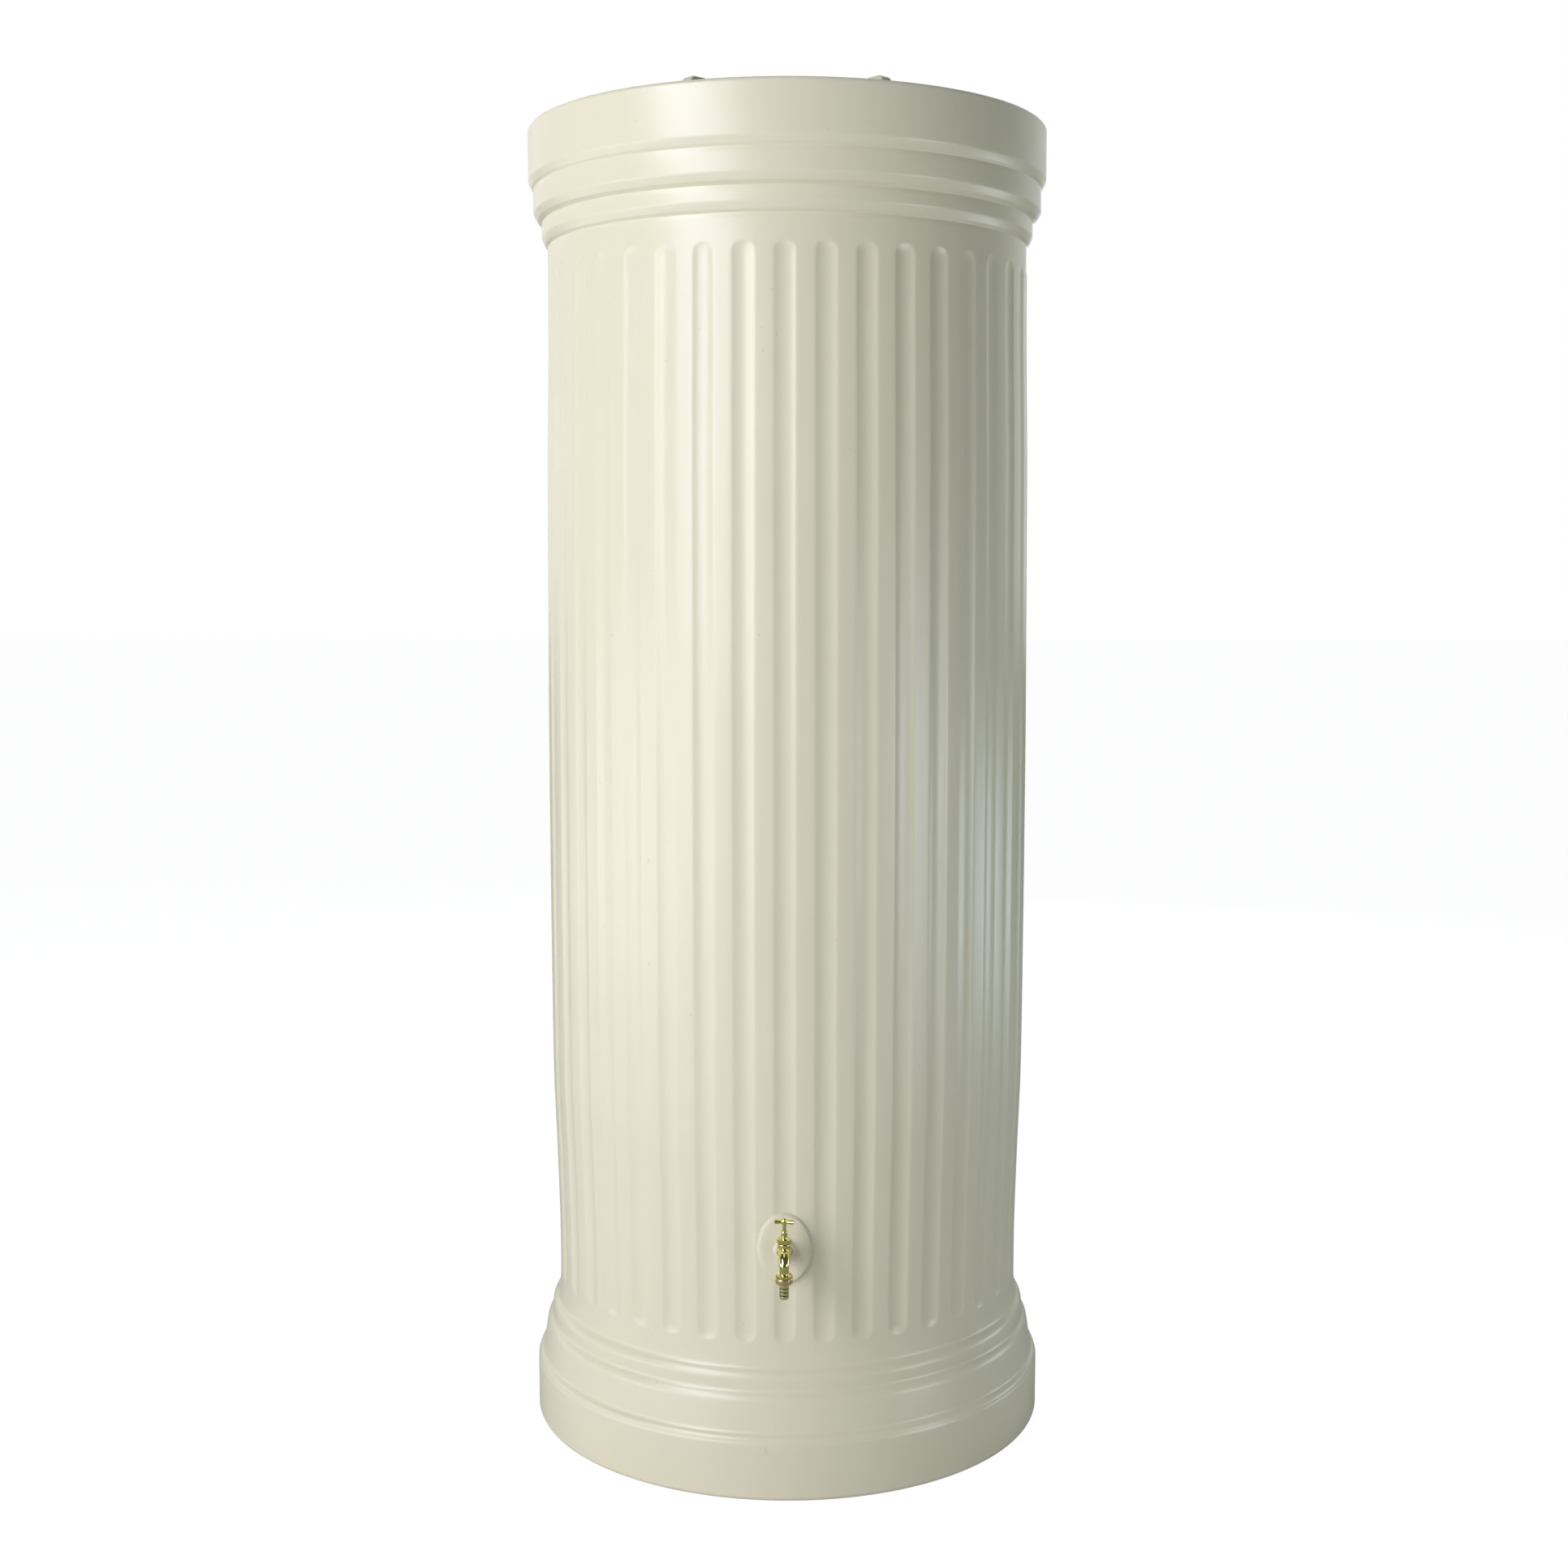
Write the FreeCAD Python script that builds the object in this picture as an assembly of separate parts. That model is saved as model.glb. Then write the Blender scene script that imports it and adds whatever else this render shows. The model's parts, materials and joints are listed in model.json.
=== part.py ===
import FreeCAD, Part
import math
import os

# Fluted column water tank with a screw lid and a brass tap.
# Millimetres, +Z up, the tap faces -Y, the origin is the centre of the foot.

V = FreeCAD.Vector
ORIGIN = V(0, 0, 0)
UP = V(0, 0, 1)

# Moulded tank wall
WALL = 6.5
FOOT_ROUND = 9.0

# Shaft, which swells slightly between its foot and its head, in a few straight-sided lengths
SHAFT_FOOT_RADIUS = 400.3
SHAFT_SWELL = 10.1
SHAFT_HEAD_GAIN = 2.7
SHAFT_HEIGHT = 1777.0
SHAFT_LENGTHS = 4

# Base: how far each form stands out from the one above it
ROLL_TOP_OUT = 7.2
ROLL_OUT = 6.5
ROLL_UPRIGHT = 5.5
ROLL_HEIGHT = 26.0
COVE_HEIGHT = 29.0
STEP_TOP_OUT = 7.5
STEP_FOOT_OUT = 8.5
STEP_HEIGHT = 62.5
STEP_ROUND = 7.5
PLINTH_OUT = 10.5
PLINTH_HEIGHT = 107.0
PLINTH_ROUND = 9.5

# Flutes: shallow round grooves with half-round ends
FLUTE_COUNT = 40
FLUTE_WIDTH = 34.0
FLUTE_DEPTH = 3.2
FLUTE_FOOT_LAND = 19.0
FLUTE_HEAD_LAND = 43.0
FLUTE_SPARE = 3.0

# Capital: three bands, each standing out from the one below over a rounded underside
LOW_BAND_OUT = 9.5
LOW_BAND_HEIGHT = 39.0
LOW_BAND_EASE = 19.0
MID_BAND_OUT = 13.5
MID_BAND_HEIGHT = 54.0
MID_BAND_EASE = 22.0
TOP_BAND_OUT = 8.0
TOP_BAND_HEIGHT = 95.5
TOP_BAND_EASE = 22.0

# Hollow rim, sunk deck and filling neck
RIM_WIDTH = 26.0
RIM_ROUND = 7.0
DECK_DEPTH = 40.0
DECK_RISE = 9.0
DECK_ROUND = 10.0
NECK_RADIUS = 203.0
NECK_HEIGHT = 56.8
NECK_FOOT_ROUND = 8.0

# Lid
LID_WALL = 6.0
LID_ROUND = 7.0
LID_THREAD_ROOM = 6.0
LID_SKIRT_DEPTH = 44.0
LUG_COUNT = 4
LUG_LENGTH = 50.0
LUG_CREST_LENGTH = 24.0
LUG_OVERHANG = 13.0
LUG_WIDTH = 24.0
LUG_HEIGHT = 26.5
LUG_ROUND = 5.0
LUG_DROP = 36.0
SEAL_HEIGHT = 3.6
SEAL_WIDTH = 10.0
SEAL_GAP = 0.2

# Oval pad and six-sided boss that hold the tap
TAP_HEIGHT = 401.0
PAD_WIDTH = 86.0
PAD_TALL = 115.0
PAD_STAND = 5.0
PAD_ROUND = 3.5
BOSS_FLATS = 30.0
BOSS_LENGTH = 10.0
BOSS_LIP = 1.5
INSERT_FLATS = 24.0

# Tap: threads are plain cylinders with this much room around them
THREAD_ROOM = 0.15
RUNNING_ROOM = 0.08
PIPE_THREAD_RADIUS = 10.48
TAIL_THREAD_LENGTH = 14.0
TAP_WASHER_THICK = 1.5
TAP_FLANGE_RADIUS = 11.6
TAP_FLANGE_THICK = 3.0
TAP_HEX_FLATS = 18.6
TAP_HEX_LENGTH = 6.0
BARREL_RADIUS = 8.8
INLET_BORE_RADIUS = 5.0
SPINDLE_REACH = 36.0

# Valve chamber, its seat and the spout
CHAMBER_RADIUS = 9.5
CHAMBER_WALL = 1.9
CHAMBER_DROP = 10.0
CHAMBER_FLOOR = 3.6
CHAMBER_LEDGE = 1.5
CHAMBER_FOOT_ROUND = 6.5
CHAMBER_RING_RADIUS = 10.8
CHAMBER_RING_HEIGHT = 7.0
RING_SLOPE = 1.0
RING_ROUND = 0.8
CHAMBER_TOP_RISE = 26.0
SEAT_RISE = 8.5
SEAT_THICK = 3.0
SEAT_BORE_RADIUS = 4.8
SPOUT_RISE = 12.0
SPOUT_REACH = 27.0
SPOUT_BEND = 18.0
SPOUT_RADIUS = 8.0
SPOUT_TIP_RADIUS = 7.3
SPOUT_TIP_LENGTH = 8.8
SPOUT_BORE_RADIUS = 5.6
COLLAR_FLATS = 23.5
COLLAR_HEIGHT = 4.2
OUTLET_THREAD_LENGTH = 5.0

# Hose union
HOSE_WASHER_THICK = 1.8
HOSE_FLANGE_RADIUS = 10.1
HOSE_FLANGE_THICK = 2.2
HOSE_RADIUS = 7.7
HOSE_BORE_RADIUS = 5.2
HOSE_TAIL_LENGTH = 24.6
HOSE_NECK_RADIUS = 7.3
HOSE_NECK_SPARE = 0.4
HOSE_BARB_PITCH = 5.6
HOSE_GROOVE_WIDTH = 1.5
HOSE_GROOVE_DEPTH = 0.9
HOSE_GROOVE_COUNT = 3
NUT_RADIUS = 13.8
NUT_LIP_THICK = 2.0
NUT_ROUND = 4.5
NUT_GAP = 0.2

# Bonnet, gland and spindle
BONNET_WASHER_THICK = 1.0
BONNET_SPIGOT = 7.0
BONNET_FLATS = 21.5
BONNET_HEX_HEIGHT = 6.5
BONNET_NECK_RADIUS = 5.2
BONNET_NECK_HEIGHT = 4.5
BONNET_ROOF = 1.2
PACKING_STEP = 0.5
PACKING_HEIGHT = 2.0
PACKING_ROOM_RADIUS = 4.2
GLAND_FLATS = 10.4
GLAND_HEX_HEIGHT = 7.9
STEM_RADIUS = 3.2
STEM_SHOW = 10.2
SPINDLE_THREAD_RADIUS = 4.9
SPINDLE_THREAD_LENGTH = 8.8
SPINDLE_FOOT_RADIUS = 4.0
SPINDLE_FOOT_LENGTH = 4.8
HANDLE_SPIGOT_RADIUS = 2.6

# Jumper: the valve disc that the spindle holds down on the seat
JUMPER_GAP = 0.1
JUMPER_RADIUS = 6.5
JUMPER_THICK = 2.0
JUMPER_STEM_RADIUS = 2.4
JUMPER_STEM_LENGTH = 8.6
JUMPER_HOLE_SPARE = 0.5
JUMPER_STUD_RADIUS = 1.45
JUMPER_WASHER_RADIUS = 6.3
JUMPER_WASHER_THICK = 2.6
JUMPER_NUT_FLATS = 5.2
JUMPER_NUT_THICK = 1.9
JUMPER_STUD_SPARE = 0.4
PIN_ROOM = 0.05

# T-handle and its screw
HUB_RADIUS = 4.6
HUB_HEIGHT = 6.6
ARM_REACH = 14.7
ARM_HUB_RADIUS = 2.3
ARM_END_RADIUS = 4.1
ARM_END_ROUND = 1.2
ARM_RISE = 3.7
HANDLE_YAW = -6.0
SCREW_RADIUS = 1.45
SCREW_LENGTH = 6.5
SCREW_HEAD_RADIUS = 3.4
SCREW_HEAD_HEIGHT = 3.4

HEX_CHAMFER = 0.7

# Radii and levels that several forms share
ROLL_TOP_RADIUS = SHAFT_FOOT_RADIUS + ROLL_TOP_OUT
ROLL_RADIUS = ROLL_TOP_RADIUS + ROLL_OUT
STEP_TOP_RADIUS = ROLL_RADIUS + STEP_TOP_OUT
STEP_FOOT_RADIUS = STEP_TOP_RADIUS + STEP_FOOT_OUT
PLINTH_RADIUS = STEP_FOOT_RADIUS + PLINTH_OUT
SHAFT_BELLY_RADIUS = SHAFT_FOOT_RADIUS + SHAFT_SWELL
SHAFT_HEAD_RADIUS = SHAFT_FOOT_RADIUS + SHAFT_HEAD_GAIN
LOW_BAND_RADIUS = SHAFT_HEAD_RADIUS + LOW_BAND_OUT
MID_BAND_RADIUS = LOW_BAND_RADIUS + MID_BAND_OUT
TOP_BAND_RADIUS = MID_BAND_RADIUS + TOP_BAND_OUT
STEP_TOP = PLINTH_HEIGHT + STEP_HEIGHT
ROLL_TOP = STEP_TOP + ROLL_HEIGHT
SHAFT_FOOT = ROLL_TOP + COVE_HEIGHT
SHAFT_HEAD = SHAFT_FOOT + SHAFT_HEIGHT
MID_BAND_FOOT = SHAFT_HEAD + LOW_BAND_HEIGHT
TOP_BAND_FOOT = MID_BAND_FOOT + MID_BAND_HEIGHT
RIM_TOP = TOP_BAND_FOOT + TOP_BAND_HEIGHT
DECK_EDGE = RIM_TOP - DECK_DEPTH
DECK_CENTRE = DECK_EDGE + DECK_RISE
NECK_TOP = DECK_CENTRE + NECK_HEIGHT
SEAL_FOOT = NECK_TOP + SEAL_GAP
LID_UNDERSIDE = SEAL_FOOT + SEAL_HEIGHT + SEAL_GAP
LID_TOP = LID_UNDERSIDE + LID_WALL
LID_SKIRT_RADIUS = NECK_RADIUS + LID_THREAD_ROOM
LID_RADIUS = LID_SKIRT_RADIUS + LID_WALL


def at(radius, height):
    return V(radius, 0, height)


def arc(start, middle, end):
    return Part.Arc(start, middle, end).toShape()


def unit(vector):
    return vector / vector.Length


def easing_arc(start, end):
    """An arc from start that runs vertically where it reaches end."""
    across = end.x - start.x
    rise = end.z - start.z
    radius = (across ** 2 + rise ** 2) / (2 * abs(across))
    centre = at(end.x - math.copysign(radius, across), end.z)
    to_middle = unit(start - centre) + unit(end - centre)
    return arc(start, centre + unit(to_middle) * radius, end)


def rounded_chain(corners):
    """Straight runs through (radius, height, rounding) corners, with tangent arcs at them."""
    points = [at(radius, height) for radius, height, rounding in corners]
    edges = []
    start = points[0]
    for before, corner, after, size in zip(points, points[1:], points[2:], corners[1:-1]):
        rounding = size[2]
        if rounding > 0:
            back = unit(before - corner)
            ahead = unit(after - corner)
            half = back.getAngle(ahead) / 2
            reach = rounding / math.tan(half)
            bisector = unit(back + ahead)
            middle = corner + bisector * (rounding / math.sin(half) - rounding)
            edges.append(Part.makeLine(start, corner + back * reach))
            edges.append(arc(corner + back * reach, middle, corner + ahead * reach))
            start = corner + ahead * reach
        else:
            edges.append(Part.makeLine(start, corner))
            start = corner
    edges.append(Part.makeLine(start, points[-1]))
    return edges


def revolved(edges):
    face = Part.Face(Part.Wire(Part.sortEdges(edges)[0]))
    return face.revolve(ORIGIN, UP, 360)


def turned(corners):
    """A turned solid: the closed outline of its corners, spun about Z."""
    return revolved(rounded_chain(corners + [corners[0]]))


def ring(inner, outer, foot, height):
    return turned([(inner, foot, 0), (outer, foot, 0),
                   (outer, foot + height, 0), (inner, foot + height, 0)])


def rod(radius, foot, height):
    return Part.makeCylinder(radius, height, at(0, foot))


def hexagon(flats, foot, height, chamfered=True):
    """A six-sided prism on Z with two corners on X, its edges chamfered as on a nut."""
    corner_radius = flats / math.sqrt(3)
    turn = math.radians(60)
    corners = [V(corner_radius * math.cos(i * turn), corner_radius * math.sin(i * turn), foot)
               for i in range(7)]
    prism = Part.Face(Part.makePolygon(corners)).extrude(V(0, 0, height))
    if not chamfered:
        return prism
    inner = corner_radius - 2 * HEX_CHAMFER
    top = foot + height
    return prism.common(turned([(0, foot, 0), (inner, foot, 0), (corner_radius, foot + HEX_CHAMFER, 0),
                                (corner_radius, top - HEX_CHAMFER, 0), (inner, top, 0), (0, top, 0)]))


def forward(shape, y):
    """Lays a shape made about +Z along -Y at the tap's height, its foot at y."""
    laid = shape.copy()
    laid.rotate(ORIGIN, V(1, 0, 0), 90)
    laid.translate(V(0, y, TAP_HEIGHT))
    return laid


def over(shape, y):
    """Moves a shape made about Z to the upright axis at y."""
    moved = shape.copy()
    moved.translate(V(0, y, 0))
    return moved


def belly_circle():
    """The great circle that the shaft's side follows from foot to head."""
    return Part.Circle(at(SHAFT_FOOT_RADIUS, SHAFT_FOOT),
                       at(SHAFT_BELLY_RADIUS, (SHAFT_FOOT + SHAFT_HEAD) / 2),
                       at(SHAFT_HEAD_RADIUS, SHAFT_HEAD))


def shaft_radius(height):
    circle = belly_circle()
    return circle.Center.x + math.sqrt(circle.Radius ** 2 - (height - circle.Center.z) ** 2)


def shaft_points(skin):
    heights = [SHAFT_FOOT + SHAFT_HEIGHT * i / SHAFT_LENGTHS for i in range(SHAFT_LENGTHS + 1)]
    return [at(shaft_radius(height) - skin, height) for height in heights]


def shaft_edges(skin):
    points = shaft_points(skin)
    return [Part.makeLine(low, high) for low, high in zip(points, points[1:])]


def base_edges(skin):
    step_face = STEP_TOP - skin
    roll_start = at(ROLL_RADIUS - skin, STEP_TOP + ROLL_UPRIGHT)
    roll_end = at(ROLL_TOP_RADIUS - skin, ROLL_TOP)
    edges = rounded_chain([
        (0, skin, 0),
        (PLINTH_RADIUS - skin, skin, max(FOOT_ROUND - skin, 1)),
        (PLINTH_RADIUS - skin, PLINTH_HEIGHT - skin, max(PLINTH_ROUND - skin, 1)),
        (STEP_FOOT_RADIUS - skin, PLINTH_HEIGHT - skin, 0),
        (STEP_TOP_RADIUS - skin, step_face, max(STEP_ROUND - skin, 1)),
        (ROLL_RADIUS - skin, step_face, 0),
        (roll_start.x, roll_start.z, 0)])
    edges.append(easing_arc(roll_end, roll_start))
    edges.append(easing_arc(roll_end, at(SHAFT_FOOT_RADIUS - skin, SHAFT_FOOT)))
    return edges


def capital_edges(skin):
    """Three bands; each underside is an arc that ends upright on its band."""
    bands = [(SHAFT_HEAD_RADIUS, LOW_BAND_RADIUS, SHAFT_HEAD, LOW_BAND_EASE),
             (LOW_BAND_RADIUS, MID_BAND_RADIUS, MID_BAND_FOOT, MID_BAND_EASE),
             (MID_BAND_RADIUS, TOP_BAND_RADIUS, TOP_BAND_FOOT, TOP_BAND_EASE)]
    edges = []
    last = at(SHAFT_HEAD_RADIUS - skin, SHAFT_HEAD)
    for inner, outer, foot, ease in bands:
        start = at(inner - skin, foot + skin)
        end = at(outer - skin, foot + ease)
        if last != start:
            edges.append(Part.makeLine(last, start))
        edges.append(easing_arc(start, end))
        last = end
    return edges, last


def top_edges(skin, start, neck_end):
    """Hollow rim, sunk deck and neck."""
    rim_inner = TOP_BAND_RADIUS - RIM_WIDTH + skin
    return rounded_chain([
        (start.x, start.z, 0),
        (TOP_BAND_RADIUS - skin, RIM_TOP - skin, max(RIM_ROUND - skin, 1)),
        (rim_inner, RIM_TOP - skin, max(RIM_ROUND - skin, 1)),
        (rim_inner, DECK_EDGE - skin, DECK_ROUND + skin),
        (NECK_RADIUS - skin, DECK_CENTRE - skin, NECK_FOOT_ROUND + skin),
        (NECK_RADIUS - skin, neck_end, 0),
        (0, neck_end, 0),
        (0, skin, 0)])


def column(skin, neck_end):
    """The tank's outline at a depth under its skin, as a solid."""
    capital, last = capital_edges(skin)
    edges = base_edges(skin)
    edges.extend(shaft_edges(skin))
    edges.extend(capital)
    edges.extend(top_edges(skin, last, neck_end))
    return revolved(edges)


def flute_end(centre, outward, side, tube, chord):
    """Half a shallow dome that rounds off a flute's rod, swept from one side to the other."""
    middle = centre - outward * chord
    edge = middle + side * math.sqrt(tube ** 2 - chord ** 2)
    deepest = centre - outward * tube
    between = centre + unit(unit(edge - centre) - outward) * tube
    outline = [arc(deepest, between, edge), Part.makeLine(edge, middle), Part.makeLine(middle, deepest)]
    return Part.Face(Part.Wire(outline)).revolve(centre, outward, 180)


def at_level(low, high, level):
    return low + (high - low) * ((level - low.z) / (high.z - low.z))


def flute_rods(skin):
    """Round-ended rods, flat on their outer side, along each length of the shaft: one for each flute."""
    groove = (FLUTE_WIDTH ** 2 / 4 + FLUTE_DEPTH ** 2) / (2 * FLUTE_DEPTH)
    tube = groove + skin
    chord = tube - FLUTE_DEPTH - FLUTE_SPARE
    side = V(0, math.sqrt(tube ** 2 - chord ** 2), 0)
    points = shaft_points(0)
    points[0] = at_level(points[0], points[1], SHAFT_FOOT + FLUTE_FOOT_LAND + FLUTE_WIDTH / 2)
    points[-1] = at_level(points[-2], points[-1], SHAFT_HEAD - FLUTE_HEAD_LAND - FLUTE_WIDTH / 2)
    lengths = []
    for low, high in zip(points, points[1:]):
        along = unit(high - low)
        outward = at(along.z, -along.x)
        centre = low + outward * (groove - FLUTE_DEPTH)
        middle = centre - outward * chord
        outline = [arc(middle - side, centre - outward * tube, middle + side),
                   Part.makeLine(middle + side, middle - side)]
        lengths.append(Part.Face(Part.Wire(outline)).extrude(high - low))
        if low == points[0]:
            lengths.append(flute_end(centre, outward, V(0, -1, 0), tube, chord))
    lengths.append(flute_end(centre + high - low, outward, V(0, 1, 0), tube, chord))
    flute = lengths[0].fuse(lengths[1:])
    rods = []
    for i in range(FLUTE_COUNT):
        copy = flute.copy()
        copy.rotate(ORIGIN, UP, -90 + i * 360 / FLUTE_COUNT)
        rods.append(copy)
    return rods


def oval(inset, face, back):
    """An upright oval prism between two distances in front of the tank's axis."""
    centre = V(0, -face, TAP_HEIGHT)
    curve = Part.Ellipse(centre + V(0, 0, PAD_TALL / 2 - inset),
                         centre + V(PAD_WIDTH / 2 - inset, 0, 0), centre)
    return Part.Face(Part.Wire(curve.toShape())).extrude(V(0, face - back, 0))


PAD_FACE = shaft_radius(TAP_HEIGHT) + PAD_STAND
BOSS_FACE = PAD_FACE + BOSS_LENGTH
INSERT_FACE = BOSS_FACE - BOSS_LIP
INSERT_LENGTH = BOSS_LENGTH + WALL - BOSS_LIP
SPINDLE_AXIS = -(BOSS_FACE + TAP_WASHER_THICK + SPINDLE_REACH)
SPOUT_AXIS = SPINDLE_AXIS - SPOUT_REACH
SEAT_TOP = TAP_HEIGHT + SEAT_RISE
CHAMBER_TOP = TAP_HEIGHT + CHAMBER_TOP_RISE
CHAMBER_BORE_RADIUS = CHAMBER_RADIUS - CHAMBER_WALL
SPOUT_LEVEL = TAP_HEIGHT + SPOUT_RISE
COLLAR_TOP = SPOUT_LEVEL - SPOUT_BEND - SPOUT_TIP_LENGTH
COLLAR_FOOT = COLLAR_TOP - COLLAR_HEIGHT
OUTLET_END = COLLAR_FOOT - OUTLET_THREAD_LENGTH
HOSE_FLANGE_TOP = OUTLET_END - HOSE_WASHER_THICK
HOSE_FLANGE_FOOT = HOSE_FLANGE_TOP - HOSE_FLANGE_THICK
HOSE_END = HOSE_FLANGE_FOOT - HOSE_TAIL_LENGTH
BONNET_HEX_FOOT = CHAMBER_TOP + BONNET_WASHER_THICK
BONNET_HEX_TOP = BONNET_HEX_FOOT + BONNET_HEX_HEIGHT
BONNET_NECK_TOP = BONNET_HEX_TOP + BONNET_NECK_HEIGHT
PACKING_FOOT = BONNET_HEX_TOP + PACKING_STEP
GLAND_TOP = BONNET_NECK_TOP + GLAND_HEX_HEIGHT
JUMPER_WASHER_FOOT = SEAT_TOP + JUMPER_GAP
JUMPER_DISC_FOOT = JUMPER_WASHER_FOOT + JUMPER_WASHER_THICK
JUMPER_DISC_TOP = JUMPER_DISC_FOOT + JUMPER_THICK
SPINDLE_END = JUMPER_DISC_TOP + JUMPER_GAP
SPINDLE_THREAD_FOOT = SPINDLE_END + SPINDLE_FOOT_LENGTH
SPINDLE_THREAD_TOP = SPINDLE_THREAD_FOOT + SPINDLE_THREAD_LENGTH
HUB_FOOT = GLAND_TOP + STEM_SHOW
HUB_TOP = HUB_FOOT + HUB_HEIGHT


def tank_body():
    outside = column(0, NECK_TOP).cut(flute_rods(0))
    pad = oval(0, PAD_FACE, PAD_FACE - 4 * WALL)
    front_edge = [edge for edge in pad.Edges if abs(edge.CenterOfMass.y + PAD_FACE) < 0.01]
    pad = pad.makeFillet(PAD_ROUND, front_edge)
    boss = forward(hexagon(BOSS_FLATS, -WALL, BOSS_LENGTH + WALL), -PAD_FACE)
    outside = outside.fuse([pad, boss])
    inside = column(WALL, NECK_TOP + WALL).cut(flute_rods(WALL))
    behind_pad = oval(WALL, PAD_FACE - WALL, PAD_FACE - 4 * WALL)
    inside = inside.fuse(behind_pad)
    socket = forward(hexagon(INSERT_FLATS, -INSERT_LENGTH - WALL, INSERT_LENGTH + WALL, False), -INSERT_FACE)
    mouth = forward(rod(PIPE_THREAD_RADIUS + THREAD_ROOM, -2 * BOSS_LIP, 3 * BOSS_LIP), -BOSS_FACE)
    return outside.cut([inside, socket, mouth])


def tap_insert():
    body = hexagon(INSERT_FLATS, -INSERT_LENGTH, INSERT_LENGTH, False)
    bore = rod(PIPE_THREAD_RADIUS, -INSERT_LENGTH - 1, INSERT_LENGTH + 2)
    return forward(body.cut(bore), -INSERT_FACE)


def tap_inlet_washer():
    return forward(ring(PIPE_THREAD_RADIUS + THREAD_ROOM, TAP_FLANGE_RADIUS, 0, TAP_WASHER_THICK), -BOSS_FACE)


def lug():
    """One grip lug of the lid: a fin across the top's edge that runs down the skirt."""
    inner = LID_RADIUS - LUG_LENGTH
    outer = LID_RADIUS + LUG_OVERHANG
    crest = LID_TOP + LUG_HEIGHT
    inside_wall = LID_RADIUS - LID_WALL / 2
    inside_top = LID_TOP - LID_WALL / 2
    edges = rounded_chain([
        (inner, inside_top, 0),
        (LID_RADIUS - LUG_CREST_LENGTH, crest, 3 * LUG_ROUND),
        (outer, crest, 2 * LUG_ROUND),
        (outer, LID_TOP - LUG_DROP, LUG_ROUND),
        (inside_wall, LID_TOP - LUG_DROP, 0),
        (inside_wall, inside_top, 0),
        (inner, inside_top, 0)])
    fin = Part.Face(Part.Wire(Part.sortEdges(edges)[0])).extrude(V(0, LUG_WIDTH, 0))
    fin.translate(V(0, -LUG_WIDTH / 2, 0))
    return fin


def lid():
    skirt_foot = LID_UNDERSIDE - LID_SKIRT_DEPTH
    cap = turned([(0, LID_UNDERSIDE, 0),
                  (LID_SKIRT_RADIUS, LID_UNDERSIDE, LID_ROUND / 2),
                  (LID_SKIRT_RADIUS, skirt_foot, 0),
                  (LID_RADIUS, skirt_foot, LID_WALL / 3),
                  (LID_RADIUS, LID_TOP, LID_ROUND),
                  (0, LID_TOP, 0)])
    fins = []
    for i in range(LUG_COUNT):
        fin = lug()
        fin.rotate(ORIGIN, UP, 45 + i * 360 / LUG_COUNT)
        fins.append(fin)
    return cap.fuse(fins)


def lid_seal():
    inner = NECK_RADIUS - SEAL_WIDTH + RUNNING_ROOM
    return ring(inner, NECK_RADIUS, SEAL_FOOT, SEAL_HEIGHT)


def tap_shell():
    """The tap casting before it is bored."""
    flange_foot = -(BOSS_FACE + TAP_WASHER_THICK)
    tail = forward(rod(PIPE_THREAD_RADIUS - THREAD_ROOM, -TAIL_THREAD_LENGTH, TAIL_THREAD_LENGTH),
                   flange_foot)
    flange = forward(rod(TAP_FLANGE_RADIUS, 0, TAP_FLANGE_THICK), flange_foot)
    grip = forward(hexagon(TAP_HEX_FLATS, TAP_FLANGE_THICK, TAP_HEX_LENGTH), flange_foot)
    barrel = forward(rod(BARREL_RADIUS, 0, SPINDLE_REACH), flange_foot)
    ring_foot = CHAMBER_TOP - CHAMBER_RING_HEIGHT
    chamber = over(turned([(0, TAP_HEIGHT - CHAMBER_DROP, 0),
                           (CHAMBER_RADIUS, TAP_HEIGHT - CHAMBER_DROP, CHAMBER_FOOT_ROUND),
                           (CHAMBER_RADIUS, ring_foot, 0),
                           (CHAMBER_RING_RADIUS, ring_foot + RING_SLOPE, 0),
                           (CHAMBER_RING_RADIUS, CHAMBER_TOP, RING_ROUND),
                           (0, CHAMBER_TOP, 0)]), SPINDLE_AXIS)
    collar = over(hexagon(COLLAR_FLATS, COLLAR_FOOT, COLLAR_HEIGHT), SPOUT_AXIS)
    thread = over(rod(PIPE_THREAD_RADIUS, OUTLET_END, OUTLET_THREAD_LENGTH), SPOUT_AXIS)
    tip = Part.makeCone(SPOUT_TIP_RADIUS, SPOUT_RADIUS, SPOUT_TIP_LENGTH, V(0, SPOUT_AXIS, COLLAR_TOP))
    pieces = [flange, grip, barrel, chamber, collar, thread, tip]
    return tail.fuse(pieces + spout_run(SPOUT_RADIUS, 0))


def spout_run(radius, start):
    """The spout's level run and quarter bend, from a distance in front of the spindle."""
    bend_start = SPOUT_AXIS + SPOUT_BEND
    level = Part.makeCylinder(radius, SPINDLE_AXIS - start - bend_start,
                              V(0, SPINDLE_AXIS - start, SPOUT_LEVEL), V(0, -1, 0))
    circle = Part.Circle(V(0, bend_start, SPOUT_LEVEL), V(0, 1, 0), radius)
    pivot = V(0, bend_start, SPOUT_LEVEL - SPOUT_BEND)
    bend = Part.Face(Part.Wire(circle.toShape())).revolve(pivot, V(1, 0, 0), 90)
    return [level, bend]


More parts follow.
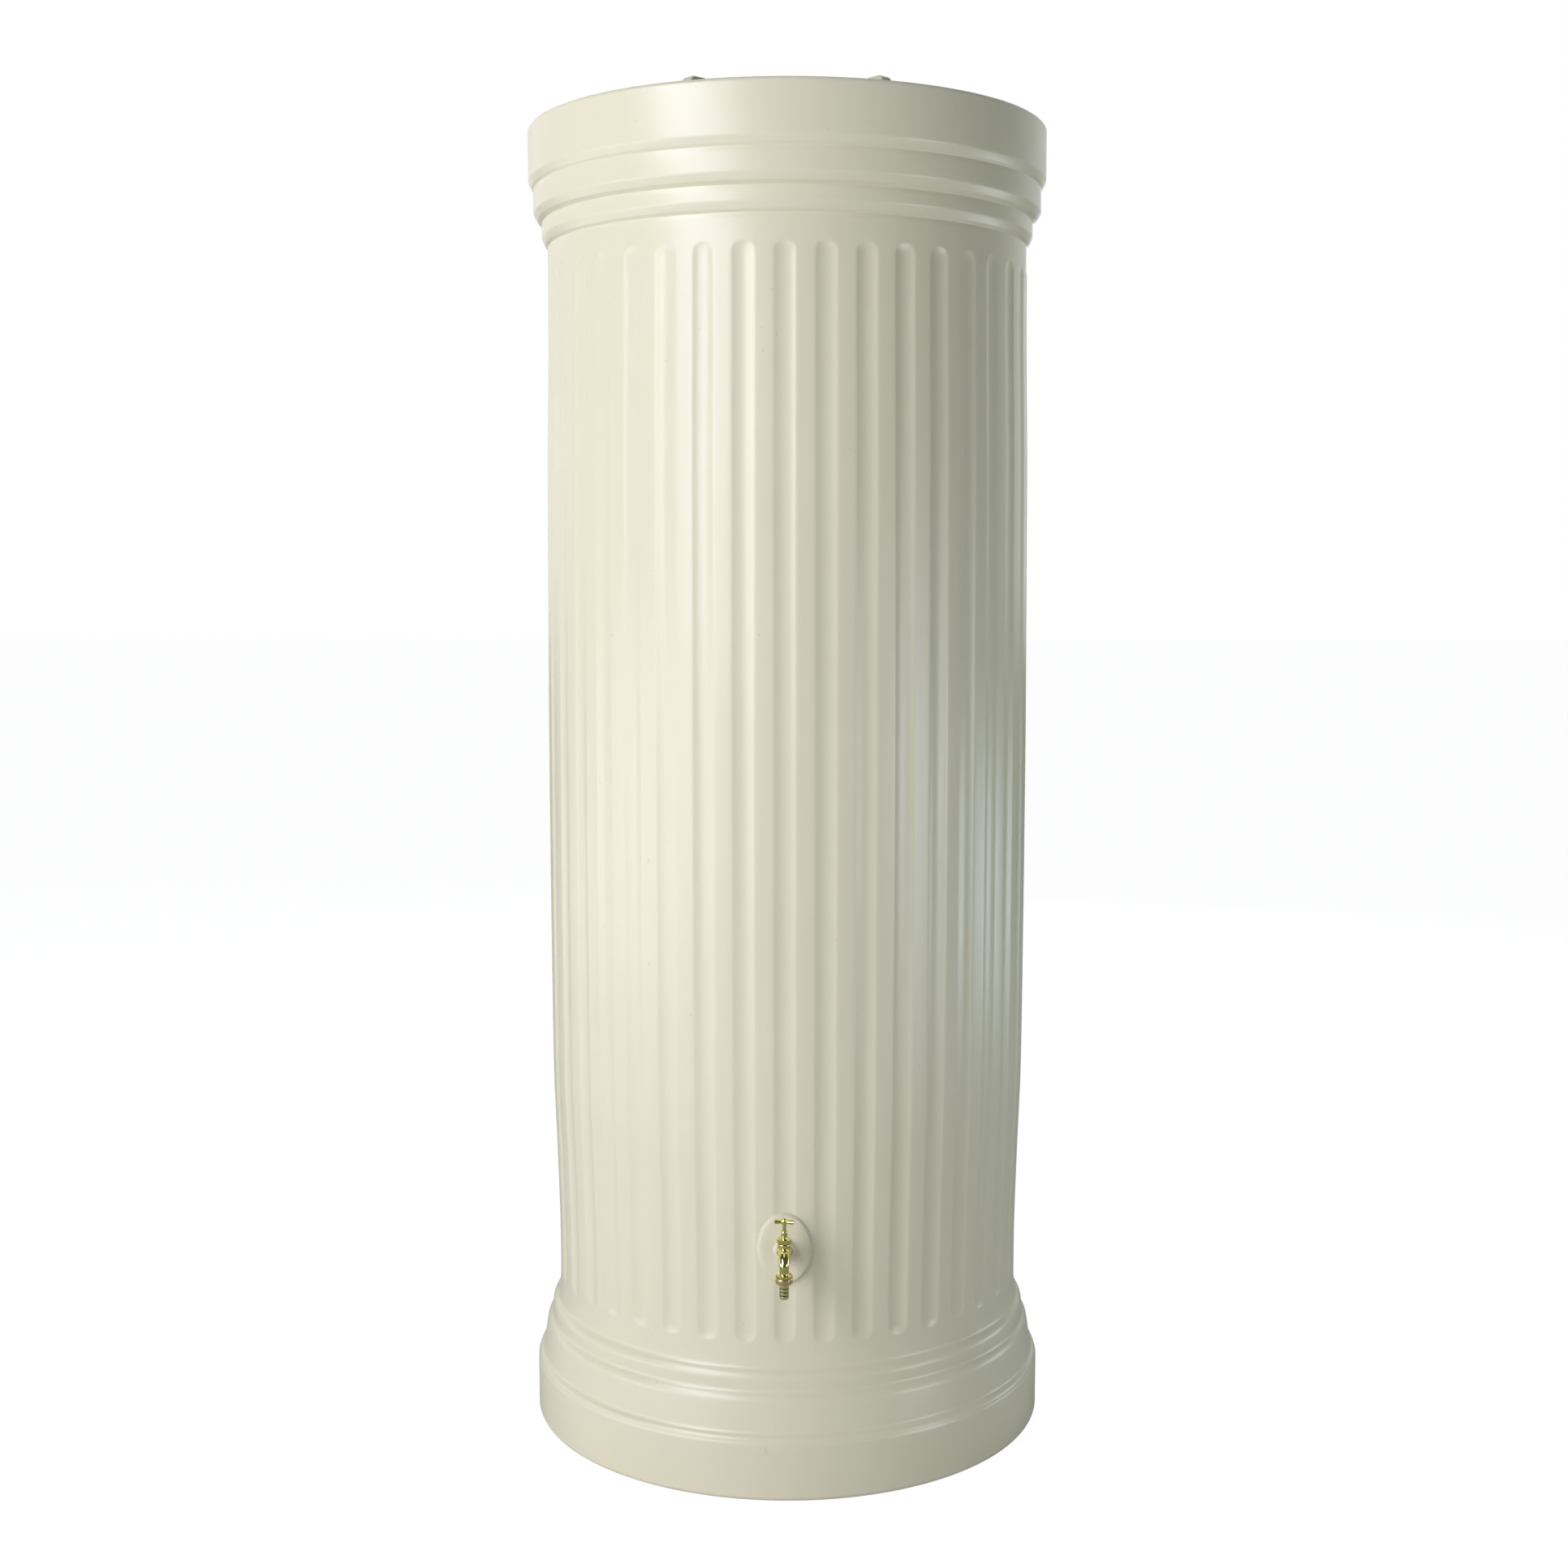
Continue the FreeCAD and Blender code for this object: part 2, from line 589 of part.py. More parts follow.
def tap_passages():
    """The water's way: inlet, up through the seat, and down the spout."""
    tail_end = -(BOSS_FACE + TAP_WASHER_THICK) + TAIL_THREAD_LENGTH
    inlet = Part.makeCylinder(INLET_BORE_RADIUS, tail_end - SPINDLE_AXIS,
                              V(0, tail_end, TAP_HEIGHT), V(0, -1, 0))
    below = over(rod(CHAMBER_BORE_RADIUS - CHAMBER_LEDGE, TAP_HEIGHT - CHAMBER_DROP + CHAMBER_FLOOR,
                     CHAMBER_DROP - CHAMBER_FLOOR + SEAT_RISE - SEAT_THICK), SPINDLE_AXIS)
    seat = over(rod(SEAT_BORE_RADIUS, SEAT_TOP - SEAT_THICK - 1, SEAT_THICK + 2), SPINDLE_AXIS)
    above = over(rod(CHAMBER_BORE_RADIUS, SEAT_TOP, CHAMBER_TOP - SEAT_TOP), SPINDLE_AXIS)
    outlet = over(rod(SPOUT_BORE_RADIUS, OUTLET_END, COLLAR_TOP + SPOUT_TIP_LENGTH - OUTLET_END), SPOUT_AXIS)
    spout_start = CHAMBER_BORE_RADIUS - CHAMBER_LEDGE / 2
    return [inlet, below, seat, above, outlet] + spout_run(SPOUT_BORE_RADIUS, spout_start)


def tap_body():
    return tap_shell().cut(tap_passages())


def bonnet_washer():
    return over(ring(CHAMBER_BORE_RADIUS, CHAMBER_RING_RADIUS - RING_ROUND, CHAMBER_TOP, BONNET_WASHER_THICK),
                SPINDLE_AXIS)


def bonnet():
    spigot_radius = CHAMBER_BORE_RADIUS - THREAD_ROOM
    spigot_foot = CHAMBER_TOP - BONNET_SPIGOT
    body = rod(spigot_radius, spigot_foot, BONNET_SPIGOT + BONNET_WASHER_THICK)
    body = body.fuse([hexagon(BONNET_FLATS, BONNET_HEX_FOOT, BONNET_HEX_HEIGHT),
                      rod(BONNET_NECK_RADIUS, BONNET_HEX_TOP, BONNET_NECK_HEIGHT)])
    thread_top = BONNET_HEX_TOP - BONNET_ROOF
    thread_bore = rod(SPINDLE_THREAD_RADIUS + RUNNING_ROOM, spigot_foot, thread_top - spigot_foot)
    stem_bore = rod(STEM_RADIUS + RUNNING_ROOM, spigot_foot, BONNET_NECK_TOP - spigot_foot)
    packing_room = rod(PACKING_ROOM_RADIUS, PACKING_FOOT, BONNET_NECK_TOP - PACKING_FOOT)
    return over(body.cut([thread_bore, stem_bore, packing_room]), SPINDLE_AXIS)


def gland_packing():
    return over(ring(STEM_RADIUS + RUNNING_ROOM, PACKING_ROOM_RADIUS - RUNNING_ROOM, PACKING_FOOT,
                     PACKING_HEIGHT), SPINDLE_AXIS)


def gland_nut():
    shank_foot = PACKING_FOOT + PACKING_HEIGHT
    shank = rod(PACKING_ROOM_RADIUS - RUNNING_ROOM, shank_foot, BONNET_NECK_TOP - shank_foot)
    head = hexagon(GLAND_FLATS, BONNET_NECK_TOP, GLAND_HEX_HEIGHT)
    head.rotate(ORIGIN, UP, 30)
    bore = rod(STEM_RADIUS + RUNNING_ROOM, shank_foot, GLAND_TOP - shank_foot)
    return over(shank.fuse(head).cut(bore), SPINDLE_AXIS)


def spindle():
    foot = rod(SPINDLE_FOOT_RADIUS, SPINDLE_END, SPINDLE_FOOT_LENGTH)
    thread = rod(SPINDLE_THREAD_RADIUS, SPINDLE_THREAD_FOOT, SPINDLE_THREAD_LENGTH)
    stem = rod(STEM_RADIUS, SPINDLE_THREAD_TOP, HUB_FOOT - SPINDLE_THREAD_TOP)
    spigot = rod(HANDLE_SPIGOT_RADIUS, HUB_FOOT, HUB_HEIGHT)
    hole = rod(JUMPER_STEM_RADIUS + PIN_ROOM, SPINDLE_END, JUMPER_STEM_LENGTH + JUMPER_HOLE_SPARE)
    screw_hole = rod(SCREW_RADIUS + PIN_ROOM, HUB_TOP - SCREW_LENGTH - 1, SCREW_LENGTH + 1)
    return over(foot.fuse([thread, stem, spigot]).cut([hole, screw_hole]), SPINDLE_AXIS)


def jumper_valve():
    disc = rod(JUMPER_RADIUS, JUMPER_DISC_FOOT, JUMPER_THICK)
    stem = rod(JUMPER_STEM_RADIUS, JUMPER_DISC_TOP, JUMPER_STEM_LENGTH)
    stud_length = JUMPER_WASHER_THICK + JUMPER_NUT_THICK + JUMPER_STUD_SPARE
    stud = rod(JUMPER_STUD_RADIUS, JUMPER_DISC_FOOT - stud_length, stud_length)
    return over(disc.fuse([stem, stud]), SPINDLE_AXIS)


def jumper_washer():
    return over(ring(JUMPER_STUD_RADIUS + PIN_ROOM, JUMPER_WASHER_RADIUS, JUMPER_WASHER_FOOT,
                     JUMPER_WASHER_THICK), SPINDLE_AXIS)


def jumper_nut():
    foot = JUMPER_WASHER_FOOT - JUMPER_NUT_THICK
    bore = rod(JUMPER_STUD_RADIUS + PIN_ROOM, foot, JUMPER_NUT_THICK)
    return over(hexagon(JUMPER_NUT_FLATS, foot, JUMPER_NUT_THICK, False).cut(bore), SPINDLE_AXIS)


def tee_handle():
    hub = turned([(0, HUB_FOOT, 0), (HUB_RADIUS, HUB_FOOT, 1), (HUB_RADIUS, HUB_TOP, 1), (0, HUB_TOP, 0)])
    arms = []
    for side in (-1, 1):
        arm = Part.makeCone(ARM_HUB_RADIUS, ARM_END_RADIUS, ARM_REACH,
                            at(0, HUB_FOOT + ARM_RISE), V(side, 0, 0))
        end_edge = [edge for edge in arm.Edges if abs(edge.CenterOfMass.x - side * ARM_REACH) < 0.01]
        arms.append(arm.makeFillet(ARM_END_ROUND, end_edge))
    bore = rod(HANDLE_SPIGOT_RADIUS + PIN_ROOM, HUB_FOOT - HUB_HEIGHT, 3 * HUB_HEIGHT)
    handle = hub.fuse(arms).cut(bore)
    handle.rotate(ORIGIN, UP, HANDLE_YAW)
    return over(handle, SPINDLE_AXIS)


def handle_screw():
    dome = (SCREW_HEAD_RADIUS ** 2 + SCREW_HEAD_HEIGHT ** 2) / (2 * SCREW_HEAD_HEIGHT)
    ball = Part.makeSphere(dome, at(0, HUB_TOP + SCREW_HEAD_HEIGHT - dome))
    head = ball.common(rod(2 * SCREW_HEAD_RADIUS, HUB_TOP, 2 * SCREW_HEAD_HEIGHT))
    shank = rod(SCREW_RADIUS, HUB_TOP - SCREW_LENGTH, SCREW_LENGTH)
    return over(head.fuse(shank), SPINDLE_AXIS)


def hose_washer():
    outer = HOSE_FLANGE_RADIUS - 2 * THREAD_ROOM
    return over(ring(SPOUT_BORE_RADIUS, outer, HOSE_FLANGE_TOP, HOSE_WASHER_THICK), SPOUT_AXIS)


def hose_tail():
    flange = rod(HOSE_FLANGE_RADIUS, HOSE_FLANGE_FOOT, HOSE_FLANGE_THICK)
    neck_foot = HOSE_FLANGE_FOOT - NUT_LIP_THICK - HOSE_NECK_SPARE
    neck = rod(HOSE_NECK_RADIUS, neck_foot, HOSE_FLANGE_FOOT - neck_foot)
    tail = rod(HOSE_RADIUS, HOSE_END, neck_foot - HOSE_END)
    cuts = [rod(HOSE_BORE_RADIUS, HOSE_END, HOSE_FLANGE_TOP - HOSE_END)]
    for i in range(HOSE_GROOVE_COUNT):
        groove_foot = HOSE_END + HOSE_BARB_PITCH * (i + 1) - HOSE_GROOVE_WIDTH / 2
        cuts.append(ring(HOSE_RADIUS - HOSE_GROOVE_DEPTH, HOSE_RADIUS + 1, groove_foot, HOSE_GROOVE_WIDTH))
    return over(flange.fuse([neck, tail]).cut(cuts), SPOUT_AXIS)


def union_nut():
    foot = HOSE_FLANGE_FOOT - NUT_LIP_THICK
    top = COLLAR_FOOT - NUT_GAP
    bore = PIPE_THREAD_RADIUS + THREAD_ROOM
    lip = HOSE_RADIUS + 2 * THREAD_ROOM
    return over(turned([(lip, foot, 0), (NUT_RADIUS, foot, NUT_ROUND), (NUT_RADIUS, top, 1),
                        (bore, top, 0), (bore, HOSE_FLANGE_FOOT, 0), (lip, HOSE_FLANGE_FOOT, 0)]), SPOUT_AXIS)


PIECES = (tank_body, tap_insert, tap_inlet_washer, lid, lid_seal, tap_body, bonnet_washer, bonnet,
          gland_packing, gland_nut, spindle, jumper_valve, jumper_washer, jumper_nut, tee_handle,
          handle_screw, hose_washer, hose_tail, union_nut)


def main():
    os.makedirs("parts", exist_ok=True)
    for piece in PIECES:
        shape = piece()
        solids = shape.Solids
        print(piece.__name__, len(solids), "solid", round(shape.Volume / 1000, 2), "cm3", shape.isValid())
        if len(solids) == 1:
            shape = solids[0]
        shape.exportStep("parts/" + piece.__name__ + ".step")


main()
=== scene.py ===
import json
import math

import bmesh
import bpy
import numpy as np
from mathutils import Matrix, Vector


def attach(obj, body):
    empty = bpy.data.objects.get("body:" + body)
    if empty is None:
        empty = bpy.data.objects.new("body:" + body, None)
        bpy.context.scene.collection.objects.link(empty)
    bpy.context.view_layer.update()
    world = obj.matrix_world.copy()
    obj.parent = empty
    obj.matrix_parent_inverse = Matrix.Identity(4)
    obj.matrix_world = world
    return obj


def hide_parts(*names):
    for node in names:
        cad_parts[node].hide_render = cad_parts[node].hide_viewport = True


# Sand-coloured fluted column tank with a brass tap, on white.
# Sizes are millimetres unless a comment says otherwise; meshes are made in metres.

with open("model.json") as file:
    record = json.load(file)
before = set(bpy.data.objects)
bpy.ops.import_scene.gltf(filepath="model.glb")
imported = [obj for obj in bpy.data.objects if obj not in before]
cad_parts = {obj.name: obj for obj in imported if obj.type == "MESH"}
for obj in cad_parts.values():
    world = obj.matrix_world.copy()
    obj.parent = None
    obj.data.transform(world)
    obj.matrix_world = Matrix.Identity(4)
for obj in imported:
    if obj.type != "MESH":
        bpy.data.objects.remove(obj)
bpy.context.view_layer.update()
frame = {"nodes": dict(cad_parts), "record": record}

MM = 0.001
TURN = 2 * math.pi

# Tank outline
PLINTH_RADIUS, PLINTH_HEIGHT, FOOT_ROUND = 440.5, 107.0, 9.0
STEP_FOOT_RADIUS, STEP_TOP_RADIUS, STEP_HEIGHT = 430.0, 421.5, 62.5
ROLL_RADIUS, ROLL_HEIGHT = 414.0, 26.0
COVE_HEIGHT = 29.0
SHAFT_HEIGHT = 1777.0
# The capital's bands: radius, height, height of the bevel at the foot, undercut below it outward and upward
LOW_BAND = (412.5, 39.0, 13.5, 5.0, 4.0)
MID_BAND = (426.0, 54.0, 14.5, 7.5, 5.0)
TOP_BAND = (434.0, 95.5, 12.5, 3.5, 3.5)
BAND_GROOVE, BAND_SHOULDER, BAND_DROP = 1.3, 6.5, 2.2
SHOULDER_ROUND, GROOVE_ROUND, UNDERCUT_ROUND, BEVEL_ROUND = 9.0, 1.0, 3.0, 10.0
RIM_WIDTH, RIM_ROUND = 26.0, 7.0
DECK_DEPTH, DECK_RISE, DECK_ROUND = 40.0, 9.0, 10.0
NECK_RADIUS, NECK_HEIGHT, NECK_FOOT_ROUND = 203.0, 56.8, 8.0
NECK_LIP_ROUND, NECK_LIP_DEPTH = 1.6, 12.0
WALL = 6.5
EDGE_SOFTNESS = 0.65
# Plain lengths of shaft that the base and the capital are made with
BASE_MARGIN, HEAD_MARGIN = 8.0, 30.0

# The base's ledges: radius where the round starts, its lean in degrees, level of the steepest place,
# radius of the round and radius of the hollow. The bead on the plinth: level and rounding
STEP_LEAN = math.degrees(math.atan((STEP_FOOT_RADIUS - STEP_TOP_RADIUS) / STEP_HEIGHT))
PLINTH_BEAD = (92.6, 6.0)
PLINTH_LEDGE = (438.8, 0.0, 104.8, 10.5, 10.0)
STEP_LEDGE = (424.0, STEP_LEAN, 166.5, 24.0, 12.0)
ROLL_LEDGE = (ROLL_RADIUS, 0.0, 200.5, 20.0, 13.0)
LEDGE_STEPS = 14
COVE_RADIUS = 402.4

STEP_TOP = PLINTH_HEIGHT + STEP_HEIGHT
ROLL_TOP = STEP_TOP + ROLL_HEIGHT
SHAFT_FOOT = ROLL_TOP + COVE_HEIGHT
SHAFT_HEAD = SHAFT_FOOT + SHAFT_HEIGHT
MID_FOOT = SHAFT_HEAD + LOW_BAND[1]
TOP_FOOT = MID_FOOT + MID_BAND[1]
RIM_TOP = TOP_FOOT + TOP_BAND[1]
DECK_EDGE = RIM_TOP - DECK_DEPTH
DECK_CENTRE = DECK_EDGE + DECK_RISE
NECK_TOP = DECK_CENTRE + NECK_HEIGHT

# The shaft's swell: (share of its height, radius)
SWELL = ((0.0, 400.2), (0.06, 400.2), (0.15, 404.8), (0.205, 408.9), (0.3, 409.8), (0.38, 410.2),
         (0.55, 410.2), (0.71, 408.5), (0.81, 407.2), (0.86, 405.4), (0.91, 403.6), (0.96, 403.0),
         (1.0, 403.0))
SWELL_EASE, SWELL_SAMPLES = 28.0, 600

# Flutes
FLUTE_COUNT = 40
FLUTE_WIDTH, FLUTE_DEPTH = 34.0, 3.2
FLUTE_FOOT_LAND, FLUTE_HEAD_LAND = 19.0, 43.0
FLUTE_EDGE = 0.25
# Mesh lines beside a flute's middle, on the shaft and on the plain rounds above and below it
FLUTE_OFFSETS = (4.2, 8.2, 11.6, 14.2, 16.2, 18.2, 20.8, 25.5)
COARSE_OFFSETS = (8.2, 16.2, 23.0)
INSIDE_COUNT = 96
# Mesh rings at a flute's end: outside its tip, inside it, and evenly over the rest of the shaft
TIP_RINGS_OUTSIDE = (7.5, 4.0, 1.8, 0.6)
TIP_RINGS_INSIDE = (1.0, 3.4, 6.0, 9.8, 14.6, 17.0, 21.0, 27.0)
PLAIN_RINGS, PLAIN_START = 34, 45
FLUTE_TUBE = (FLUTE_WIDTH ** 2 / 4 + FLUTE_DEPTH ** 2) / (2 * FLUTE_DEPTH)
FLUTE_LOW = SHAFT_FOOT + FLUTE_FOOT_LAND + FLUTE_WIDTH / 2
FLUTE_HIGH = SHAFT_HEAD - FLUTE_HEAD_LAND - FLUTE_WIDTH / 2
FLUTE_PITCH = TURN / FLUTE_COUNT
FRONT = -math.pi / 2


class Shape:
    """Points and faces of one piece, gathered ring by ring."""

    def __init__(self):
        self.points = []
        self.faces = []

    def ring(self, points):
        start = len(self.points)
        self.points.extend(tuple(map(float, p)) for p in points)
        return list(range(start, len(self.points)))

    def band(self, low, high):
        """Faces between two closed rings; a ring of one point makes a fan."""
        if len(low) == 1 or len(high) == 1:
            tip, rim = (low[0], high) if len(low) == 1 else (high[0], low)
            self.faces.extend((tip, rim[i], rim[(i + 1) % len(rim)]) for i in range(len(rim)))
            return
        n = len(low)
        self.faces.extend((low[i], low[(i + 1) % n], high[(i + 1) % n], high[i]) for i in range(n))

    def seam(self, low, low_angles, high, high_angles):
        """Triangles between two rings whose points are spaced unlike each other."""
        i = j = 0
        n, m = len(low), len(high)
        while i < n or j < m:
            next_low = low_angles[i + 1] if i + 1 < n else low_angles[0] + TURN
            next_high = high_angles[j + 1] if j + 1 < m else high_angles[0] + TURN
            if j >= m or (i < n and next_low <= next_high):
                self.faces.append((low[i], low[(i + 1) % n], high[j % m]))
                i += 1
            else:
                self.faces.append((low[i % n], high[(j + 1) % m], high[j]))
                j += 1

    def loft(self, rings, closed=False):
        made = [self.ring(r) for r in rings]
        for low, high in zip(made, made[1:] + (made[:1] if closed else [])):
            self.band(low, high)
        return made

    def add(self, other):
        start = len(self.points)
        self.points.extend(other.points)
        self.faces.extend(tuple(start + i for i in f) for f in other.faces)
        return self

    def moved(self, x=0.0, y=0.0, z=0.0):
        self.points = [(a + x, b + y, c + z) for a, b, c in self.points]
        return self

    def laid_forward(self, y, z):
        """Turns a shape made along +Z so that it points along -Y from (0, y, z)."""
        self.points = [(a, y - c, z + b) for a, b, c in self.points]
        return self

    def turned(self, angle):
        c, s = math.cos(angle), math.sin(angle)
        self.points = [(c * a - s * b, s * a + c * b, h) for a, b, h in self.points]
        return self


def smooth_mesh(name, shape, sharp=38.0):
    """An object from a shape in millimetres, faces outward, edges sharper than an angle left crisp."""
    mesh = bpy.data.meshes.new(name)
    mesh.from_pydata([(a * MM, b * MM, c * MM) for a, b, c in shape.points], [], shape.faces)
    bm = bmesh.new()
    bm.from_mesh(mesh)
    bmesh.ops.recalc_face_normals(bm, faces=bm.faces)
    bm.to_mesh(mesh)
    bm.free()
    mesh.shade_smooth()
    mesh.set_sharp_from_angle(angle=math.radians(sharp))
    obj = bpy.data.objects.new(name, mesh)
    bpy.context.scene.collection.objects.link(obj)
    return obj


def dress(obj, body, material, slot, *nodes):
    obj.data.materials.clear()
    obj.data.materials.append(material)
    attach(obj, body)
    if nodes:
        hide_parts(*nodes)


def circle_angles(count):
    return [FRONT + TURN * i / count for i in range(count)]


def circle(radius, height, angles):
    if radius < 1e-6:
        return [(0.0, 0.0, height)]
    return [(radius * math.cos(a), radius * math.sin(a), height) for a in angles]


def lathe(outline, count=72, closed=True):
    """A turned shape about +Z from (radius, height) points."""
    angles = circle_angles(count)
    shape = Shape()
    shape.loft([circle(r, z, angles) for r, z in outline], closed)
    return shape


def rounded(corners, step=0.35):
    """A polyline through (radius, height, rounding) corners with arcs at them."""
    out = [corners[0][:2]]
    for before, corner, after in zip(corners, corners[1:], corners[2:]):
        p, c, n = (np.array(q[:2], float) for q in (before, corner, after))
        size = corner[2]
        if size <= 0:
            out.append(tuple(c))
            continue
        back, ahead = (p - c) / np.linalg.norm(p - c), (n - c) / np.linalg.norm(n - c)
        half = math.acos(max(-1.0, min(1.0, float(back @ ahead)))) / 2
        reach = size / math.tan(half)
        centre = c + (back + ahead) / np.linalg.norm(back + ahead) * size / math.sin(half)
        start, end = c + back * reach, c + ahead * reach
        out.extend(arc_points(centre, start, end, max(3, int(size * (math.pi - 2 * half) / step))))
    out.append(corners[-1][:2])
    return [(float(a), float(b)) for a, b in out]


def arc_points(centre, start, end, steps):
    """Points from start to end about a centre, the short way round."""
    a0 = math.atan2(start[1] - centre[1], start[0] - centre[0])
    a1 = math.atan2(end[1] - centre[1], end[0] - centre[0])
    sweep = (a1 - a0 + math.pi) % TURN - math.pi
    radius = math.hypot(start[0] - centre[0], start[1] - centre[1])
    return [(centre[0] + radius * math.cos(a0 + sweep * i / steps),
             centre[1] + radius * math.sin(a0 + sweep * i / steps)) for i in range(steps + 1)]


def bell(width, pitch):
    """Weights of a smooth average over points that lie a pitch apart, and how many lie on each side."""
    reach = int(3 * width / pitch)
    weight = np.exp(-0.5 * (np.arange(-reach, reach + 1) * pitch / width) ** 2)
    return reach, weight / weight.sum()


def softened(outline, softness, pitch=0.4, tolerance=0.035):
    """The outline with every crease eased, and only as many points as its bends need."""
    points = np.array(outline, float)
    run = np.concatenate([[0], np.cumsum(np.linalg.norm(np.diff(points, axis=0), axis=1))])
    fine = np.arange(0, run[-1], pitch)
    dense = np.stack([np.interp(fine, run, points[:, k]) for k in (0, 1)], 1)
    reach, weight = bell(softness, pitch)
    before = 2 * dense[:1] - dense[reach:0:-1]
    after = 2 * dense[-1:] - dense[-2:-reach - 2:-1]
    padded = np.concatenate([before, dense, after])
    smooth = np.stack([np.convolve(padded[:, k], weight, "valid") for k in (0, 1)], 1)
    smooth[0], smooth[-1] = points[0], points[-1]
    keep = {0, len(smooth) - 1}
    spans = [(0, len(smooth) - 1)]
    while spans:
        a, b = spans.pop()
        if b - a < 2:
            continue
        line = smooth[b] - smooth[a]
        length = max(np.linalg.norm(line), 1e-9)
        inner = smooth[a + 1:b] - smooth[a]
        off = np.abs(inner[:, 0] * line[1] - inner[:, 1] * line[0]) / length
        worst = int(off.argmax())
        if off[worst] > tolerance:
            middle = a + 1 + worst
            keep.add(middle)
            spans += [(a, middle), (middle, b)]
    return [tuple(smooth[i]) for i in sorted(keep)]


def swell_table():
    """Heights up the shaft and its radius there, with the swell's stops run softly into each other."""
    heights = np.linspace(SHAFT_FOOT, SHAFT_HEAD, SWELL_SAMPLES)
    stops = np.array([SHAFT_FOOT + s * SHAFT_HEIGHT for s, r in SWELL])
    radii = np.interp(heights, stops, [r for s, r in SWELL])
    reach, weight = bell(SWELL_EASE, heights[1] - heights[0])
    return heights, np.convolve(np.pad(radii, reach, mode="edge"), weight, "valid")


SWELL_HEIGHTS, SWELL_RADII = swell_table()


def shaft_radius(height):
    return np.interp(height, SWELL_HEIGHTS, SWELL_RADII)


def skin_radius(angle, height):
    """Distance of the fluted skin from the axis."""
    radius = shaft_radius(height)
    local = (np.asarray(angle) - FRONT + FLUTE_PITCH / 2) % FLUTE_PITCH - FLUTE_PITCH / 2
    past = np.maximum(np.maximum(FLUTE_LOW - height, height - FLUTE_HIGH), 0)
    away = np.hypot(radius * local, past)
    depth = np.sqrt(np.maximum(FLUTE_TUBE ** 2 - away ** 2, 0)) - (FLUTE_TUBE - FLUTE_DEPTH)
    return radius - (depth + np.sqrt(depth ** 2 + 4 * FLUTE_EDGE ** 2)) / 2


def flute_angles(offsets):
    half = math.pi * SWELL_RADII.mean() / FLUTE_COUNT
    marks = sorted([-o for o in offsets] + [0.0] + list(offsets) + [half])
    return [FRONT + FLUTE_PITCH * (i + m / (2 * half)) for i in range(FLUTE_COUNT) for m in marks]


def flute_rows():
    """Heights of the shaft's rings, close together at the flutes' ends."""
    half = FLUTE_WIDTH / 2
    ends = [half - math.sqrt(half ** 2 - o ** 2) for o in FLUTE_OFFSETS if o < half]
    inside = [0.0, *ends, *TIP_RINGS_INSIDE]
    tip_low, tip_high = FLUTE_LOW - half, FLUTE_HIGH + half
    rows = [tip_low - d for d in TIP_RINGS_OUTSIDE] + [tip_low + d for d in inside]
    rows += list(np.linspace(tip_low + PLAIN_START, tip_high - PLAIN_START, PLAIN_RINGS))
    rows += [tip_high - d for d in inside] + [tip_high + d for d in TIP_RINGS_OUTSIDE]
    return sorted(set(round(r, 2) for r in rows))


def ledge(start, inner):
    """An S-shaped ledge: a round that runs into a hollow, which ends upright at the inner radius."""
    outer, lean, level, convex, concave = start
    lean = math.radians(lean)
    steep = math.acos((convex * math.cos(lean) + concave - (outer - inner)) / (convex + concave))
    meet = inner + concave * (1 - math.cos(steep))
    round_turn = [(convex, lean + (steep - lean) * i / LEDGE_STEPS) for i in range(LEDGE_STEPS + 1)]
    hollow_turn = [(-concave, steep * (1 - i / LEDGE_STEPS)) for i in range(1, LEDGE_STEPS + 1)]
    return [(meet - radius * (math.cos(steep) - math.cos(turn)),
             level - radius * (math.sin(steep) - math.sin(turn)))
            for radius, turn in round_turn + hollow_turn]


def base_outline():
    """The tank's outside from the middle of the foot up to the shaft."""
    plinth_ledge = ledge(PLINTH_LEDGE, STEP_FOOT_RADIUS)
    outline = rounded([(0, 0, 0), (PLINTH_RADIUS, 0, FOOT_ROUND), (PLINTH_RADIUS,) + PLINTH_BEAD,
                       plinth_ledge[0] + (0,)])
    outline += plinth_ledge[1:]
    outline += ledge(STEP_LEDGE, ROLL_RADIUS)
    outline += ledge(ROLL_LEDGE, COVE_RADIUS)
    shaft_start = SHAFT_FOOT + BASE_MARGIN
    outline.append((float(shaft_radius(shaft_start)), shaft_start))
    return softened(outline, EDGE_SOFTNESS)


def head_outline():
    """The tank's outside from the shaft over the capital and the deck into the neck."""
    shaft_end = SHAFT_HEAD - HEAD_MARGIN
    corners = [(float(shaft_radius(shaft_end)), shaft_end, 0)]
    inner = float(SWELL_RADII[-1])
    for band, foot in ((LOW_BAND, SHAFT_HEAD), (MID_BAND, MID_FOOT), (TOP_BAND, TOP_FOOT)):
        radius, height, bevel, under_out, under_up = band
        groove = inner - BAND_GROOVE
        low = foot - BAND_DROP
        corners += [(inner, low - BAND_SHOULDER, SHOULDER_ROUND), (groove, low, GROOVE_ROUND),
                    (groove + under_out, low + under_up, UNDERCUT_ROUND),
                    (radius, foot + bevel, BEVEL_ROUND)]
        inner = radius
    rim_inner = TOP_BAND[0] - RIM_WIDTH
    corners += [(TOP_BAND[0], RIM_TOP, RIM_ROUND), (rim_inner, RIM_TOP, RIM_ROUND),
                (rim_inner, DECK_EDGE, DECK_ROUND), (NECK_RADIUS, DECK_CENTRE, NECK_FOOT_ROUND),
                (NECK_RADIUS, NECK_TOP, NECK_LIP_ROUND), (NECK_RADIUS - WALL, NECK_TOP, NECK_LIP_ROUND),
                (NECK_RADIUS - WALL, NECK_TOP - NECK_LIP_DEPTH, 0)]
    return softened(rounded(corners), EDGE_SOFTNESS)


